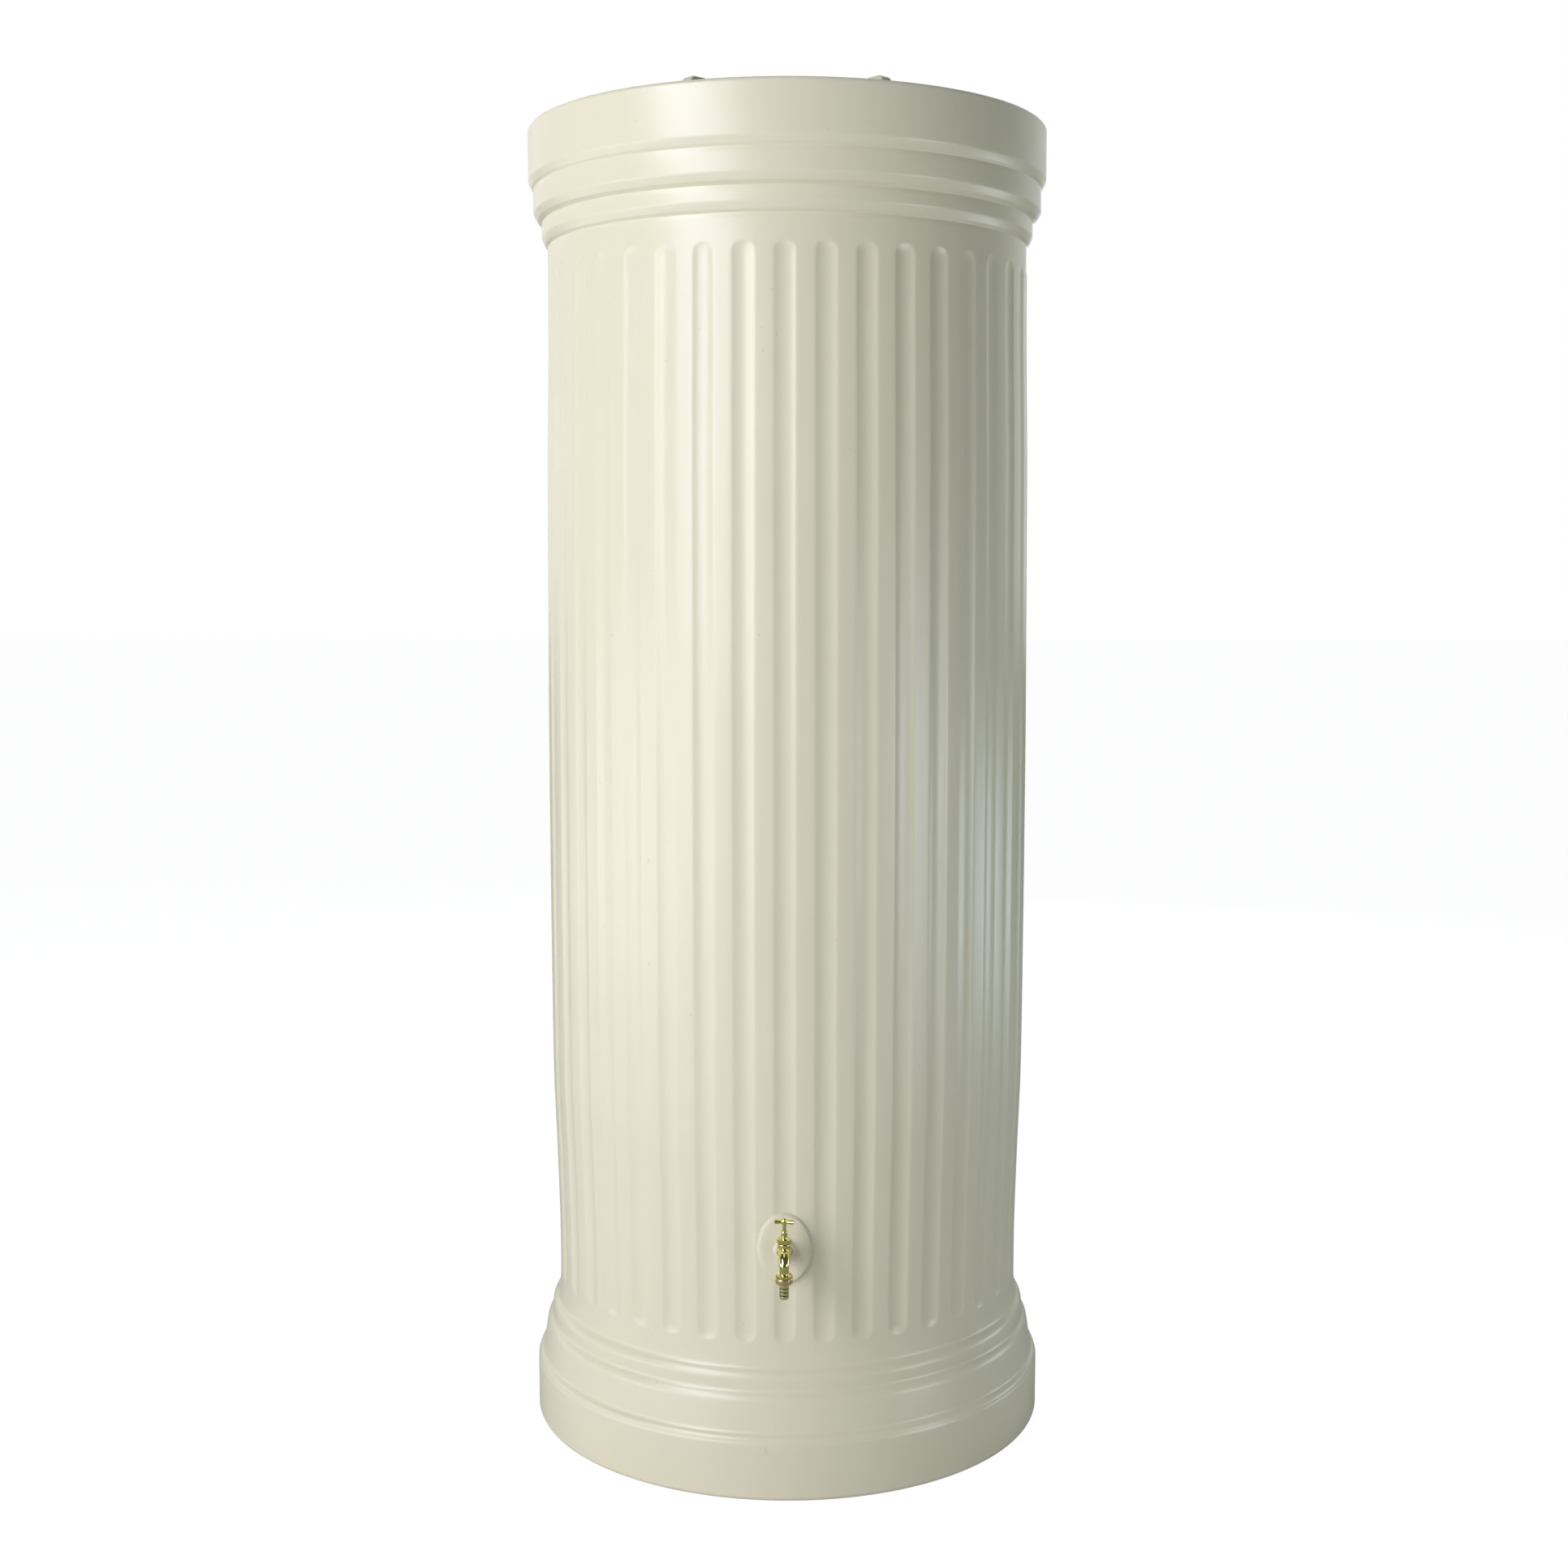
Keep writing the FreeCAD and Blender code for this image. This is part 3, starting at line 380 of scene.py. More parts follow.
def inner_outline():
    """The water space from the neck down to the middle of the bottom."""
    shaft_inside = SWELL_RADII.min() - FLUTE_DEPTH - 2 * WALL
    rim_inner = TOP_BAND[0] - RIM_WIDTH
    return [(NECK_RADIUS - WALL, DECK_CENTRE - WALL), (rim_inner + WALL, DECK_EDGE - WALL),
            (rim_inner + WALL, RIM_TOP - WALL), (TOP_BAND[0] - WALL, RIM_TOP - WALL),
            (TOP_BAND[0] - WALL, TOP_FOOT + 2 * WALL), (shaft_inside, SHAFT_HEAD),
            (shaft_inside, SHAFT_FOOT), (PLINTH_RADIUS - 4 * WALL, PLINTH_HEIGHT),
            (PLINTH_RADIUS - WALL, PLINTH_HEIGHT - 3 * WALL), (PLINTH_RADIUS - WALL, WALL), (0, WALL)]


def helix_ridge(radius, crest, foot, steps=96, fading=14):
    """A screw thread: a ridge that winds up a cylinder and fades out at both ends."""
    shape = Shape()
    rings = []
    count = int(THREAD_TURNS * steps)
    for i in range(count + 1):
        share = i / count
        fade = min(1.0, share * fading, (1 - share) * fading)
        angle = TURN * THREAD_TURNS * share
        z = foot + THREAD_PITCH * THREAD_TURNS * share
        tip = radius + (crest - radius) * fade
        section = [(radius, -THREAD_WIDTH / 2), (tip, -THREAD_WIDTH / 5), (tip, THREAD_WIDTH / 5),
                   (radius, THREAD_WIDTH / 2)]
        rings.append([(r * math.cos(angle), r * math.sin(angle), z + dz) for r, dz in section])
    made = shape.loft(rings)
    shape.faces += [tuple(made[0]), tuple(reversed(made[-1]))]
    return shape


def fluted_ring(height, angles):
    radii = skin_radius(np.array(angles), height)
    return [(r * math.cos(a), r * math.sin(a), height) for r, a in zip(radii, angles)]


def tank_skin():
    """The tank's outside and inside as one closed skin."""
    fine = flute_angles(FLUTE_OFFSETS)
    coarse = flute_angles(COARSE_OFFSETS)
    inside = circle_angles(INSIDE_COUNT)
    shape = Shape()
    base = shape.loft([circle(r, z, coarse) for r, z in base_outline()])
    shaft = shape.loft([fluted_ring(z, fine) for z in flute_rows()])
    head = shape.loft([circle(r, z, coarse) for r, z in head_outline()])
    hollow = shape.loft([circle(r, z, inside) for r, z in inner_outline()])
    shape.seam(base[-1], coarse, shaft[0], fine)
    shape.seam(shaft[-1], fine, head[0], coarse)
    shape.seam(head[-1], coarse, hollow[0], inside)
    return shape


# Tap pad and boss
TAP_HEIGHT = 401.0
PAD_WIDTH, PAD_TALL, PAD_FACE, PAD_THICK = 83.0, 112.5, 408.7, 14.0
# The pad's edge flares into the skin, and starts just under it
PAD_FLARE, PAD_SUNK, PAD_EDGE_STEPS = 2.4, 0.25, 10
PAD_INSETS = (10, 20, 30)
BOSS_FLATS, BOSS_FACE, BOSS_BLUNT, BOSS_FILLET = 30.0, 418.7, 0.8, 3.2
INSERT_FLATS, INSERT_DEPTH, BOSS_LIP, BOSS_MOUTH = 24.1, 16.5, 1.5, 10.63
# A hexagon's blunted corners, and how far and how round its chamfer takes them back
BLUNT_POWER = 40
CHAMFER_SPREAD, CHAMFER_BEND = 2.0, 1.35


def pad_oval(spread, angles):
    """Points (x, z) of the pad's oval, spread outward."""
    return [((PAD_WIDTH / 2 + spread) * math.cos(a), TAP_HEIGHT + (PAD_TALL / 2 + spread) * math.sin(a))
            for a in angles]


def skin_depth(x, z):
    """The y of the fluted skin's front at a point of the front view."""
    radius = float(skin_radius(FRONT, z))
    for _ in range(4):
        radius = float(skin_radius(FRONT + math.asin(x / radius), z))
    return -math.sqrt(radius ** 2 - x ** 2)


def pad():
    """Oval pad whose edge runs softly into the fluted skin."""
    shape = Shape()
    angles = circle_angles(128)
    rings = []
    for k in range(PAD_EDGE_STEPS + 1):
        share = k / PAD_EDGE_STEPS
        spread = PAD_FLARE * (1 - 2 * share)
        lift = share * share * (3 - 2 * share)
        points = []
        for x, z in pad_oval(spread, angles):
            skin = skin_depth(x, z) + (PAD_SUNK if k == 0 else 0.0)
            points.append((x, skin + (-PAD_FACE - skin) * lift, z))
        rings.append(points)
    for inset in PAD_INSETS:
        rings.append([(x, -PAD_FACE, z) for x, z in pad_oval(-inset, angles)])
    rings.append([(0, -PAD_FACE, TAP_HEIGHT)])
    made = shape.loft(rings)
    back = shape.ring([(x, -PAD_FACE + PAD_THICK, z) for x, y, z in rings[0]])
    shape.band(back, made[0])
    shape.faces.append(tuple(back))
    return shape


def hex_radius(angle, flats, blunt=0.0):
    """Distance to a hexagon's side with two corners on X, its corners blunted."""
    local = (angle % (TURN / 6)) - TURN / 12
    side = flats / 2 / math.cos(local)
    corner = flats / math.sqrt(3) - blunt
    if blunt <= 0:
        return side
    return (side ** -BLUNT_POWER + corner ** -BLUNT_POWER) ** (-1 / BLUNT_POWER)


def hex_angles(per_side=14):
    """Angles closer together at the corners of a hexagon."""
    marks = [0.5 - 0.5 * math.cos(math.pi * i / per_side) for i in range(per_side)]
    return [TURN / 6 * (side + m) for side in range(6) for m in marks]


def hex_nut(flats, foot, top, chamfer, bore, blunt=0.25, per_side=14):
    """A chamfered hexagonal nut about +Z with a round hole."""
    angles = hex_angles(per_side)
    corner = flats / math.sqrt(3)
    levels = []
    for share in (0.0, 0.25, 0.5, 0.75, 1.0):
        levels.append((chamfer * share, corner - CHAMFER_SPREAD * chamfer * (1 - share) ** CHAMFER_BEND))
    rings = [circle(bore, foot, angles)]
    for dz, limit in levels:
        rings.append([capped(a, flats, blunt, limit, foot + dz) for a in angles])
    for dz, limit in reversed(levels):
        rings.append([capped(a, flats, blunt, limit, top - dz) for a in angles])
    rings.append(circle(bore, top, angles))
    shape = Shape()
    shape.loft(rings, closed=True)
    return shape


def capped(angle, flats, blunt, limit, height):
    """A point of a hexagon's side, no farther out than a limit."""
    radius = min(hex_radius(angle, flats, blunt), limit)
    return (radius * math.cos(angle), radius * math.sin(angle), height)


def hex_ring(flats, blunt, grow, height, angles):
    """A ring along a hexagon's sides, moved outward by grow."""
    radii = [hex_radius(a, flats, blunt) + grow for a in angles]
    return [(r * math.cos(a), r * math.sin(a), height) for r, a in zip(radii, angles)]


def boss():
    """Six-sided boss with soft edges and a six-sided socket behind a round mouth, along +Z from the pad."""
    angles = hex_angles(12)
    length = BOSS_FACE - PAD_FACE
    shape = Shape()
    # How far each ring lies outside the boss's side, and how high
    edge = [(BOSS_FILLET, -1.0), (2.0, 0.0), (1.1, 0.5), (0.45, 1.2), (0.1, 2.2), (0.0, 3.4),
            (0.0, length - 1.6), (-0.2, length - 0.8), (-0.65, length - 0.25), (-1.4, length)]
    rings = [hex_ring(BOSS_FLATS, BOSS_BLUNT, grow, z, angles) for grow, z in edge]
    rings += [circle(BOSS_MOUTH + 0.6, length, angles), circle(BOSS_MOUTH, length - 0.5, angles),
              circle(BOSS_MOUTH, length - BOSS_LIP, angles),
              hex_ring(INSERT_FLATS, 0, 0, length - BOSS_LIP, angles),
              hex_ring(INSERT_FLATS, 0, 0, length - INSERT_DEPTH, angles),
              hex_ring(BOSS_FLATS, BOSS_BLUNT, BOSS_FILLET, length - INSERT_DEPTH, angles)]
    shape.loft(rings, closed=True)
    return shape.laid_forward(-PAD_FACE, TAP_HEIGHT)


# Lid
LID_WALL, LID_ROUND, LID_COUNT = 6.0, 7.0, 180
LID_SKIRT_RADIUS, SKIRT_ROOT_ROUND, SKIRT_LIP_ROUNDS = 209.0, 3.5, (1.5, 2.0)
LID_RADIUS = LID_SKIRT_RADIUS + LID_WALL
LID_UNDERSIDE = NECK_TOP + 4.0
LID_TOP = LID_UNDERSIDE + LID_WALL
LID_SKIRT_DEPTH = 44.0
LUG_COUNT, LUG_WIDTH, LUG_HEIGHT, LUG_DROP = 4, 24.0, 26.5, 36.0
LUG_INNER, LUG_CREST, LUG_OVERHANG = 165.0, 191.0, 13.0
LUG_ROUND, LUG_EDGE, LUG_SUNK, LUG_STEPS = 5.0, 3.2, 1.5, 4
# What a lug's rounded edges draw in towards, from the middle of its outline: out and up
LUG_HEART = (12.0, 8.0)
# The coarse thread between neck and lid: its root lies a little inside the wall
THREAD_PITCH, THREAD_TURNS, THREAD_WIDTH, THREAD_CREST, THREAD_ROOT = 12.0, 1.6, 6.0, 4.2, 0.3
LID_THREAD_LEVEL, NECK_THREAD_LEVEL = 8.0, 26.0


def lug():
    """Grip fin across the lid's edge with rounded edges."""
    outer = LID_RADIUS + LUG_OVERHANG
    crest = LID_TOP + LUG_HEIGHT
    foot = LID_TOP - LUG_DROP
    inside = LID_RADIUS - LID_WALL / 2
    side = rounded([(LUG_INNER, LID_TOP - LUG_SUNK, 0), (LUG_CREST, crest, 3 * LUG_ROUND),
                    (outer, crest, 2 * LUG_ROUND), (outer, foot, LUG_ROUND), (inside, foot, 0)], step=1.2)
    side.append((inside, LID_TOP - LUG_SUNK))
    heart = np.array([(LUG_INNER + outer) / 2 + LUG_HEART[0], (foot + crest) / 2 + LUG_HEART[1]])
    bends = [math.pi / 2 * k / LUG_STEPS for k in range(LUG_STEPS + 1)]
    edge = [(LUG_EDGE * (1 - math.sin(b)), LUG_WIDTH / 2 - LUG_EDGE * (1 - math.cos(b))) for b in bends]
    rings = []
    for inset, y in [(i, -y) for i, y in edge] + edge[::-1]:
        ring = []
        for point in side:
            inward = heart - np.array(point)
            drawn = np.array(point) + inward / np.linalg.norm(inward) * inset
            ring.append((drawn[0], y, drawn[1]))
        rings.append(ring)
    shape = Shape()
    made = shape.loft(rings)
    shape.faces += [tuple(made[0]), tuple(reversed(made[-1]))]
    return shape


def lid():
    """Screw lid: a disc with a skirt, a thread inside it and grip lugs between the four main directions."""
    foot = LID_UNDERSIDE - LID_SKIRT_DEPTH
    outline = rounded([(0, LID_UNDERSIDE, 0), (LID_SKIRT_RADIUS, LID_UNDERSIDE, SKIRT_ROOT_ROUND),
                       (LID_SKIRT_RADIUS, foot, SKIRT_LIP_ROUNDS[0]),
                       (LID_RADIUS, foot, SKIRT_LIP_ROUNDS[1]), (LID_RADIUS, LID_TOP, LID_ROUND),
                       (0, LID_TOP, 0)], step=1.5)
    shape = lathe(outline, LID_COUNT, closed=False)
    for i in range(LUG_COUNT):
        shape.add(lug().turned((i + 0.5) * TURN / LUG_COUNT))
    return shape.add(helix_ridge(LID_SKIRT_RADIUS + THREAD_ROOT, LID_SKIRT_RADIUS - THREAD_CREST,
                                 foot + LID_THREAD_LEVEL))


# Tap, from the boss forward
WASHER_FACE = 420.2
CHAMBER_AXIS = -456.2
SPOUT_AXIS = -483.2
SPOUT_LEVEL = TAP_HEIGHT + 12.0
SPOUT_RADIUS, SPOUT_TIP_RADIUS, SPOUT_BEND, SPOUT_STEPS = 8.0, 7.3, 18.0, 16
COLLAR_FLATS, COLLAR_TOP = 23.5, SPOUT_LEVEL - SPOUT_BEND - 8.8
COLLAR_FOOT = COLLAR_TOP - 4.2
OUTLET_END = COLLAR_FOOT - 5.0
OUTLET_RADIUS, OUTLET_START = 5.6, 6.9
CHAMBER_RADIUS, CHAMBER_TOP, CHAMBER_FOOT = 9.5, TAP_HEIGHT + 26.0, TAP_HEIGHT - 10.0
CHAMBER_ROUND, CHAMBER_FLOOR, BELOW_RADIUS = 6.5, 3.6, 6.1
RING_RADIUS, RING_FOOT = 10.8, CHAMBER_TOP - 7.0
SEAT_TOP, SEAT_RADIUS, SEAT_THICK = TAP_HEIGHT + 8.5, 4.8, 3.0
BORE_RADIUS = 7.6
BARREL_RADIUS, INLET_RADIUS, INLET_LENGTH = 8.8, 5.0, 14.0
FLANGE_RADIUS, FLANGE_THICK, WRENCH_FLATS, WRENCH_END = 11.6, 3.0, 18.6, 9.0
THREAD_RADIUS = 10.33
# The casting is melted from its solids on a grid, then smoothed
CAST_GRID, CAST_PASSES, CAST_SHARP = 0.42, 7, 42.0


def spout_path(start):
    """Centres and radii of the spout from a distance in front of the chamber's axis, down to the collar."""
    bend = SPOUT_AXIS + SPOUT_BEND
    path = [(CHAMBER_AXIS - start, SPOUT_LEVEL, 0.0)]
    for i in range(SPOUT_STEPS + 1):
        angle = math.pi / 2 * i / SPOUT_STEPS
        y = bend - SPOUT_BEND * math.sin(angle)
        path.append((y, SPOUT_LEVEL - SPOUT_BEND * (1 - math.cos(angle)), angle))
    path.append((SPOUT_AXIS, COLLAR_TOP - 1.5, math.pi / 2))
    return path


def spout(radius, tip_radius, start, count=48):
    """A rod that runs forward from the chamber and bends down, and tapers over its last stretch."""
    shape = Shape()
    path = spout_path(start)
    rings = [[(0.0, path[0][0], path[0][1])]]
    for i, (y, z, angle) in enumerate(path):
        r = radius + (tip_radius - radius) * max(0.0, (i - len(path) + 5) / 4)
        up = (-math.sin(angle), math.cos(angle))
        rings.append([(r * math.cos(a), y + r * math.sin(a) * up[0], z + r * math.sin(a) * up[1])
                      for a in circle_angles(count)])
    rings.append([(0.0, path[-1][0], path[-1][1])])
    shape.loft(rings)
    return shape


def solid_rod(radius, foot, top, count=64):
    return lathe([(0, foot), (radius, foot), (radius, top), (0, top)], count, closed=False)


def evaluated(obj):
    """Turns an object's modifiers into its own mesh."""
    bpy.context.view_layer.update()
    graph = bpy.context.evaluated_depsgraph_get()
    mesh = bpy.data.meshes.new_from_object(obj.evaluated_get(graph))
    obj.modifiers.clear()
    old = obj.data
    obj.data = mesh
    bpy.data.meshes.remove(old)
    return obj


def cast(name, shapes):
    """Several overlapping solids melted into one casting with small fillets."""
    whole = Shape()
    for s in shapes:
        whole.add(s)
    obj = smooth_mesh(name, whole)
    melt = obj.modifiers.new("melt", "REMESH")
    melt.mode = "VOXEL"
    melt.voxel_size = CAST_GRID * MM
    ease = obj.modifiers.new("ease", "SMOOTH")
    ease.factor = 0.5
    ease.iterations = CAST_PASSES
    return evaluated(obj)


def cut(obj, shapes):
    """Bores taken out of a casting."""
    cutters = []
    for i, s in enumerate(shapes):
        tool = smooth_mesh(obj.name + "_bore_" + str(i), s)
        cutters.append(tool)
        bore = obj.modifiers.new("bore", "BOOLEAN")
        bore.operation = "DIFFERENCE"
        bore.solver = "EXACT"
        bore.object = tool
    evaluated(obj)
    for tool in cutters:
        bpy.data.objects.remove(tool)
    return obj


def joined(obj, shape):
    """Adds crisp machined parts to a casting."""
    extra = smooth_mesh(obj.name + "_crisp", shape)
    bm = bmesh.new()
    bm.from_mesh(obj.data)
    bm.from_mesh(extra.data)
    bm.to_mesh(obj.data)
    bm.free()
    bpy.data.objects.remove(extra)
    return obj


def tap_casting():
    """Chamber, barrel and spout as one bored casting."""
    reach = -CHAMBER_AXIS - WASHER_FACE
    outline = rounded([(0, CHAMBER_FOOT, 0), (CHAMBER_RADIUS, CHAMBER_FOOT, CHAMBER_ROUND),
                       (CHAMBER_RADIUS, RING_FOOT, 0), (RING_RADIUS, RING_FOOT + 1.0, 0),
                       (RING_RADIUS, CHAMBER_TOP, 0.9), (0, CHAMBER_TOP, 0)])
    chamber = lathe(outline, 64, closed=False).moved(y=CHAMBER_AXIS)
    barrel = solid_rod(BARREL_RADIUS, 0, reach).laid_forward(-WASHER_FACE, TAP_HEIGHT)
    obj = cast("tap_casting", [chamber, barrel, spout(SPOUT_RADIUS, SPOUT_TIP_RADIUS, 0)])
    bore = solid_rod(BORE_RADIUS, SEAT_TOP, CHAMBER_TOP + 4).moved(y=CHAMBER_AXIS)
    seat_foot = SEAT_TOP - SEAT_THICK
    below = solid_rod(BELOW_RADIUS, CHAMBER_FOOT + CHAMBER_FLOOR, seat_foot).moved(y=CHAMBER_AXIS)
    seat = solid_rod(SEAT_RADIUS, seat_foot - 1, SEAT_TOP + 1).moved(y=CHAMBER_AXIS)
    inlet = solid_rod(INLET_RADIUS, -1, reach).laid_forward(-WASHER_FACE, TAP_HEIGHT)
    outlet = spout(OUTLET_RADIUS, OUTLET_RADIUS, OUTLET_START)
    down = solid_rod(OUTLET_RADIUS - 0.05, COLLAR_TOP - 4, COLLAR_TOP + 2).moved(y=SPOUT_AXIS)
    cut(obj, [bore, below, seat, inlet, outlet, down])
    obj.data.shade_smooth()
    obj.data.set_sharp_from_angle(angle=math.radians(CAST_SHARP))
    return obj


def tap_machining():
    """The tap's inlet thread with its flange and wrench hexagon, and the collar with the outlet thread."""
    inner = BARREL_RADIUS - 1
    flange = rounded([(INLET_RADIUS, -INLET_LENGTH, 0), (THREAD_RADIUS, -INLET_LENGTH, 1.0),
                      (THREAD_RADIUS, 0, 0), (FLANGE_RADIUS, 0, 0.5), (FLANGE_RADIUS, FLANGE_THICK, 0.7),
                      (inner, FLANGE_THICK, 0)])
    flange.append((INLET_RADIUS, FLANGE_THICK))
    crisp = lathe(flange, 72).laid_forward(-WASHER_FACE, TAP_HEIGHT)
    wrench = hex_nut(WRENCH_FLATS, FLANGE_THICK, WRENCH_END, 0.7, inner)
    crisp.add(wrench.laid_forward(-WASHER_FACE, TAP_HEIGHT))
    crisp.add(hex_nut(COLLAR_FLATS, COLLAR_FOOT, COLLAR_TOP, 0.9, OUTLET_RADIUS).moved(y=SPOUT_AXIS))
    outlet_thread = [(OUTLET_RADIUS, OUTLET_END), (THREAD_RADIUS - 0.6, OUTLET_END),
                     (THREAD_RADIUS, OUTLET_END + 0.7), (THREAD_RADIUS, COLLAR_FOOT),
                     (OUTLET_RADIUS, COLLAR_FOOT)]
    return crisp.add(lathe(outlet_thread, 64).moved(y=SPOUT_AXIS))


# Headpiece, spindle and handle
BONNET_FOOT, BONNET_TOP, BONNET_NECK = CHAMBER_TOP + 1.0, CHAMBER_TOP + 7.5, CHAMBER_TOP + 12.0
BONNET_FLATS, BONNET_BORE, PLUG_RADIUS, PLUG_DEPTH, COLLET_RADIUS = 21.5, 4.98, 7.45, 7.0, 5.2
GLAND_FLATS, GLAND_HEX, GLAND_TOP, DOME_ROUND = 10.4, 4.6, BONNET_NECK + 7.9, 1.9
HUB_RADIUS, HUB_BORE, HUB_FOOT = 4.6, 2.65, GLAND_TOP + 10.2
HUB_TOP = HUB_FOOT + 6.6
ARM_LEVEL, ARM_START, ARM_LENGTH = HUB_FOOT + 3.7, 2.8, 14.7
ARM_ROOT, ARM_TIP = 2.3, 4.1
STEM_RADIUS, STEM_ROOM, TANG_RADIUS = 3.2, 3.28, 2.6
SPINDLE_END, SOCKET_RADIUS, SOCKET_DEPTH = SEAT_TOP + 4.8, 2.45, 9.1
SPINDLE_FOOT, THREAD_VALLEY, SPINDLE_CREST = 4.0, 4.3, 4.85
SPINDLE_THREAD, SPINDLE_TURNS = (SPINDLE_END + 4.8, SPINDLE_END + 13.6), 8
SCREW_HEAD, SCREW_SHANK, SCREW_DEPTH, SCREW_HOLE, SCREW_HOLE_DEPTH = 3.4, 1.4, 6.5, 1.5, 7.0
HANDLE_YAW = math.radians(-6.0)


def bonnet():
    """Hexagon with a screwed plug below it and a round neck above it."""
    shape = hex_nut(BONNET_FLATS, BONNET_FOOT, BONNET_TOP, 0.8, BONNET_BORE)
    plug = [(BONNET_BORE, CHAMBER_TOP - PLUG_DEPTH), (PLUG_RADIUS, CHAMBER_TOP - PLUG_DEPTH),
            (PLUG_RADIUS, BONNET_FOOT + 0.4), (BONNET_BORE, BONNET_FOOT + 0.4)]
    shape.add(lathe(plug, 64))
    neck = rounded([(STEM_ROOM, BONNET_TOP - 0.6, 0), (COLLET_RADIUS + 0.4, BONNET_TOP - 0.6, 0),
                    (COLLET_RADIUS, BONNET_TOP + 0.5, 0.6), (COLLET_RADIUS, BONNET_NECK, 0.4),
                    (STEM_ROOM, BONNET_NECK, 0)])
    shape.add(lathe(neck, 64))
    return shape.moved(y=CHAMBER_AXIS)


def gland():
    """Small hexagon with a dome on it."""
    shape = hex_nut(GLAND_FLATS, BONNET_NECK, BONNET_NECK + GLAND_HEX, 0.35, STEM_ROOM, 0.2, 12)
    dome_foot = BONNET_NECK + GLAND_HEX - 0.2
    dome = rounded([(STEM_ROOM, dome_foot, 0), (5.0, dome_foot, 0), (4.9, GLAND_TOP, DOME_ROUND),
                    (STEM_ROOM, GLAND_TOP, 0)])
    return shape.turned(TURN / 12).add(lathe(dome, 56)).moved(y=CHAMBER_AXIS)


def spindle():
    """Stem with a thread low down, a socket for the jumper below and a tang for the handle on top."""
    thread_foot, thread_top = SPINDLE_THREAD
    outline = [(SOCKET_RADIUS, SPINDLE_END), (SPINDLE_FOOT - 0.3, SPINDLE_END),
               (SPINDLE_FOOT, SPINDLE_END + 0.3), (SPINDLE_FOOT, thread_foot)]
    for i in range(SPINDLE_TURNS):
        z = thread_foot + (thread_top - thread_foot) * i / SPINDLE_TURNS
        outline += [(THREAD_VALLEY, z + 0.1), (SPINDLE_CREST, z + 0.45), (SPINDLE_CREST, z + 0.6),
                    (THREAD_VALLEY, z + 0.95)]
    hole_foot = HUB_TOP - SCREW_HOLE_DEPTH
    outline += [(STEM_RADIUS, thread_top), (STEM_RADIUS, HUB_FOOT - 0.3), (STEM_RADIUS - 0.3, HUB_FOOT),
                (TANG_RADIUS, HUB_FOOT), (TANG_RADIUS, HUB_TOP - 0.2), (SCREW_HOLE, HUB_TOP - 0.2),
                (SCREW_HOLE, hole_foot), (0, hole_foot)]
    socket = [(0, SPINDLE_END + SOCKET_DEPTH), (SOCKET_RADIUS, SPINDLE_END + SOCKET_DEPTH), outline[0]]
    shape = lathe(outline, 48, closed=False).add(lathe(socket, 48, closed=False))
    return shape.moved(y=CHAMBER_AXIS)


def handle():
    """Hub with two arms that widen to rounded ends."""
    hub = rounded([(HUB_BORE, HUB_FOOT, 0), (HUB_RADIUS, HUB_FOOT, 1.0), (HUB_RADIUS, HUB_TOP, 1.0),
                   (HUB_BORE, HUB_TOP, 0)])
    arm = rounded([(0, 0, 0), (ARM_ROOT, 0, 0), (ARM_TIP - 0.2, ARM_LENGTH - 1, 1.0),
                   (ARM_TIP, ARM_LENGTH, 1.0), (0, ARM_LENGTH, 0)])
    shape = lathe(hub, 56)
    for side in (-1, 1):
        piece = lathe(arm, 40, closed=False)
        piece.points = [(side * min(c + ARM_START, ARM_LENGTH), a, b + ARM_LEVEL)
                        for a, b, c in piece.points]
        shape.add(piece)
    return shape.turned(HANDLE_YAW).moved(y=CHAMBER_AXIS)


def screw():
    """Round-headed screw that holds the handle."""
    bends = [math.pi / 2 * i / 10 for i in range(10)]
    outline = [(0, HUB_TOP - SCREW_DEPTH), (SCREW_SHANK, HUB_TOP - SCREW_DEPTH), (SCREW_SHANK, HUB_TOP)]
    outline += [(SCREW_HEAD * math.cos(b), HUB_TOP + SCREW_HEAD * math.sin(b)) for b in bends]
    outline.append((0, HUB_TOP + SCREW_HEAD))
    return lathe(outline, 48, closed=False).moved(y=CHAMBER_AXIS)


# Hose union
NUT_RADIUS, NUT_ROUND, NUT_HOLE, NUT_THREAD = 13.8, 4.5, 8.0, 10.63
NUT_TOP = COLLAR_FOOT - 0.2
HOSE_FLANGE_TOP = OUTLET_END - 1.8
HOSE_FLANGE_FOOT = HOSE_FLANGE_TOP - 2.2
HOSE_END = HOSE_FLANGE_FOOT - 24.6
HOSE_RADIUS, HOSE_BORE, HOSE_LEAD, HOSE_NECK, HOSE_FLANGE = 7.7, 5.2, 0.9, 7.3, 10.1
HOSE_TIP, GROOVE_COUNT, GROOVE_RADIUS, GROOVE_WIDTH, GROOVE_STEP, GROOVE_EDGE = 6.9, 3, 6.8, 1.5, 5.6, 0.15
NUT_FOOT = HOSE_FLANGE_FOOT - 2.0


def union_nut():
    outline = rounded([(NUT_HOLE, HOSE_FLANGE_FOOT, 0), (NUT_HOLE, NUT_FOOT, 0),
                       (NUT_RADIUS, NUT_FOOT, NUT_ROUND), (NUT_RADIUS, NUT_TOP, 1.0),
                       (NUT_THREAD, NUT_TOP, 0)])
    outline.append((NUT_THREAD, HOSE_FLANGE_FOOT))
    return lathe(outline, 96).moved(y=SPOUT_AXIS)


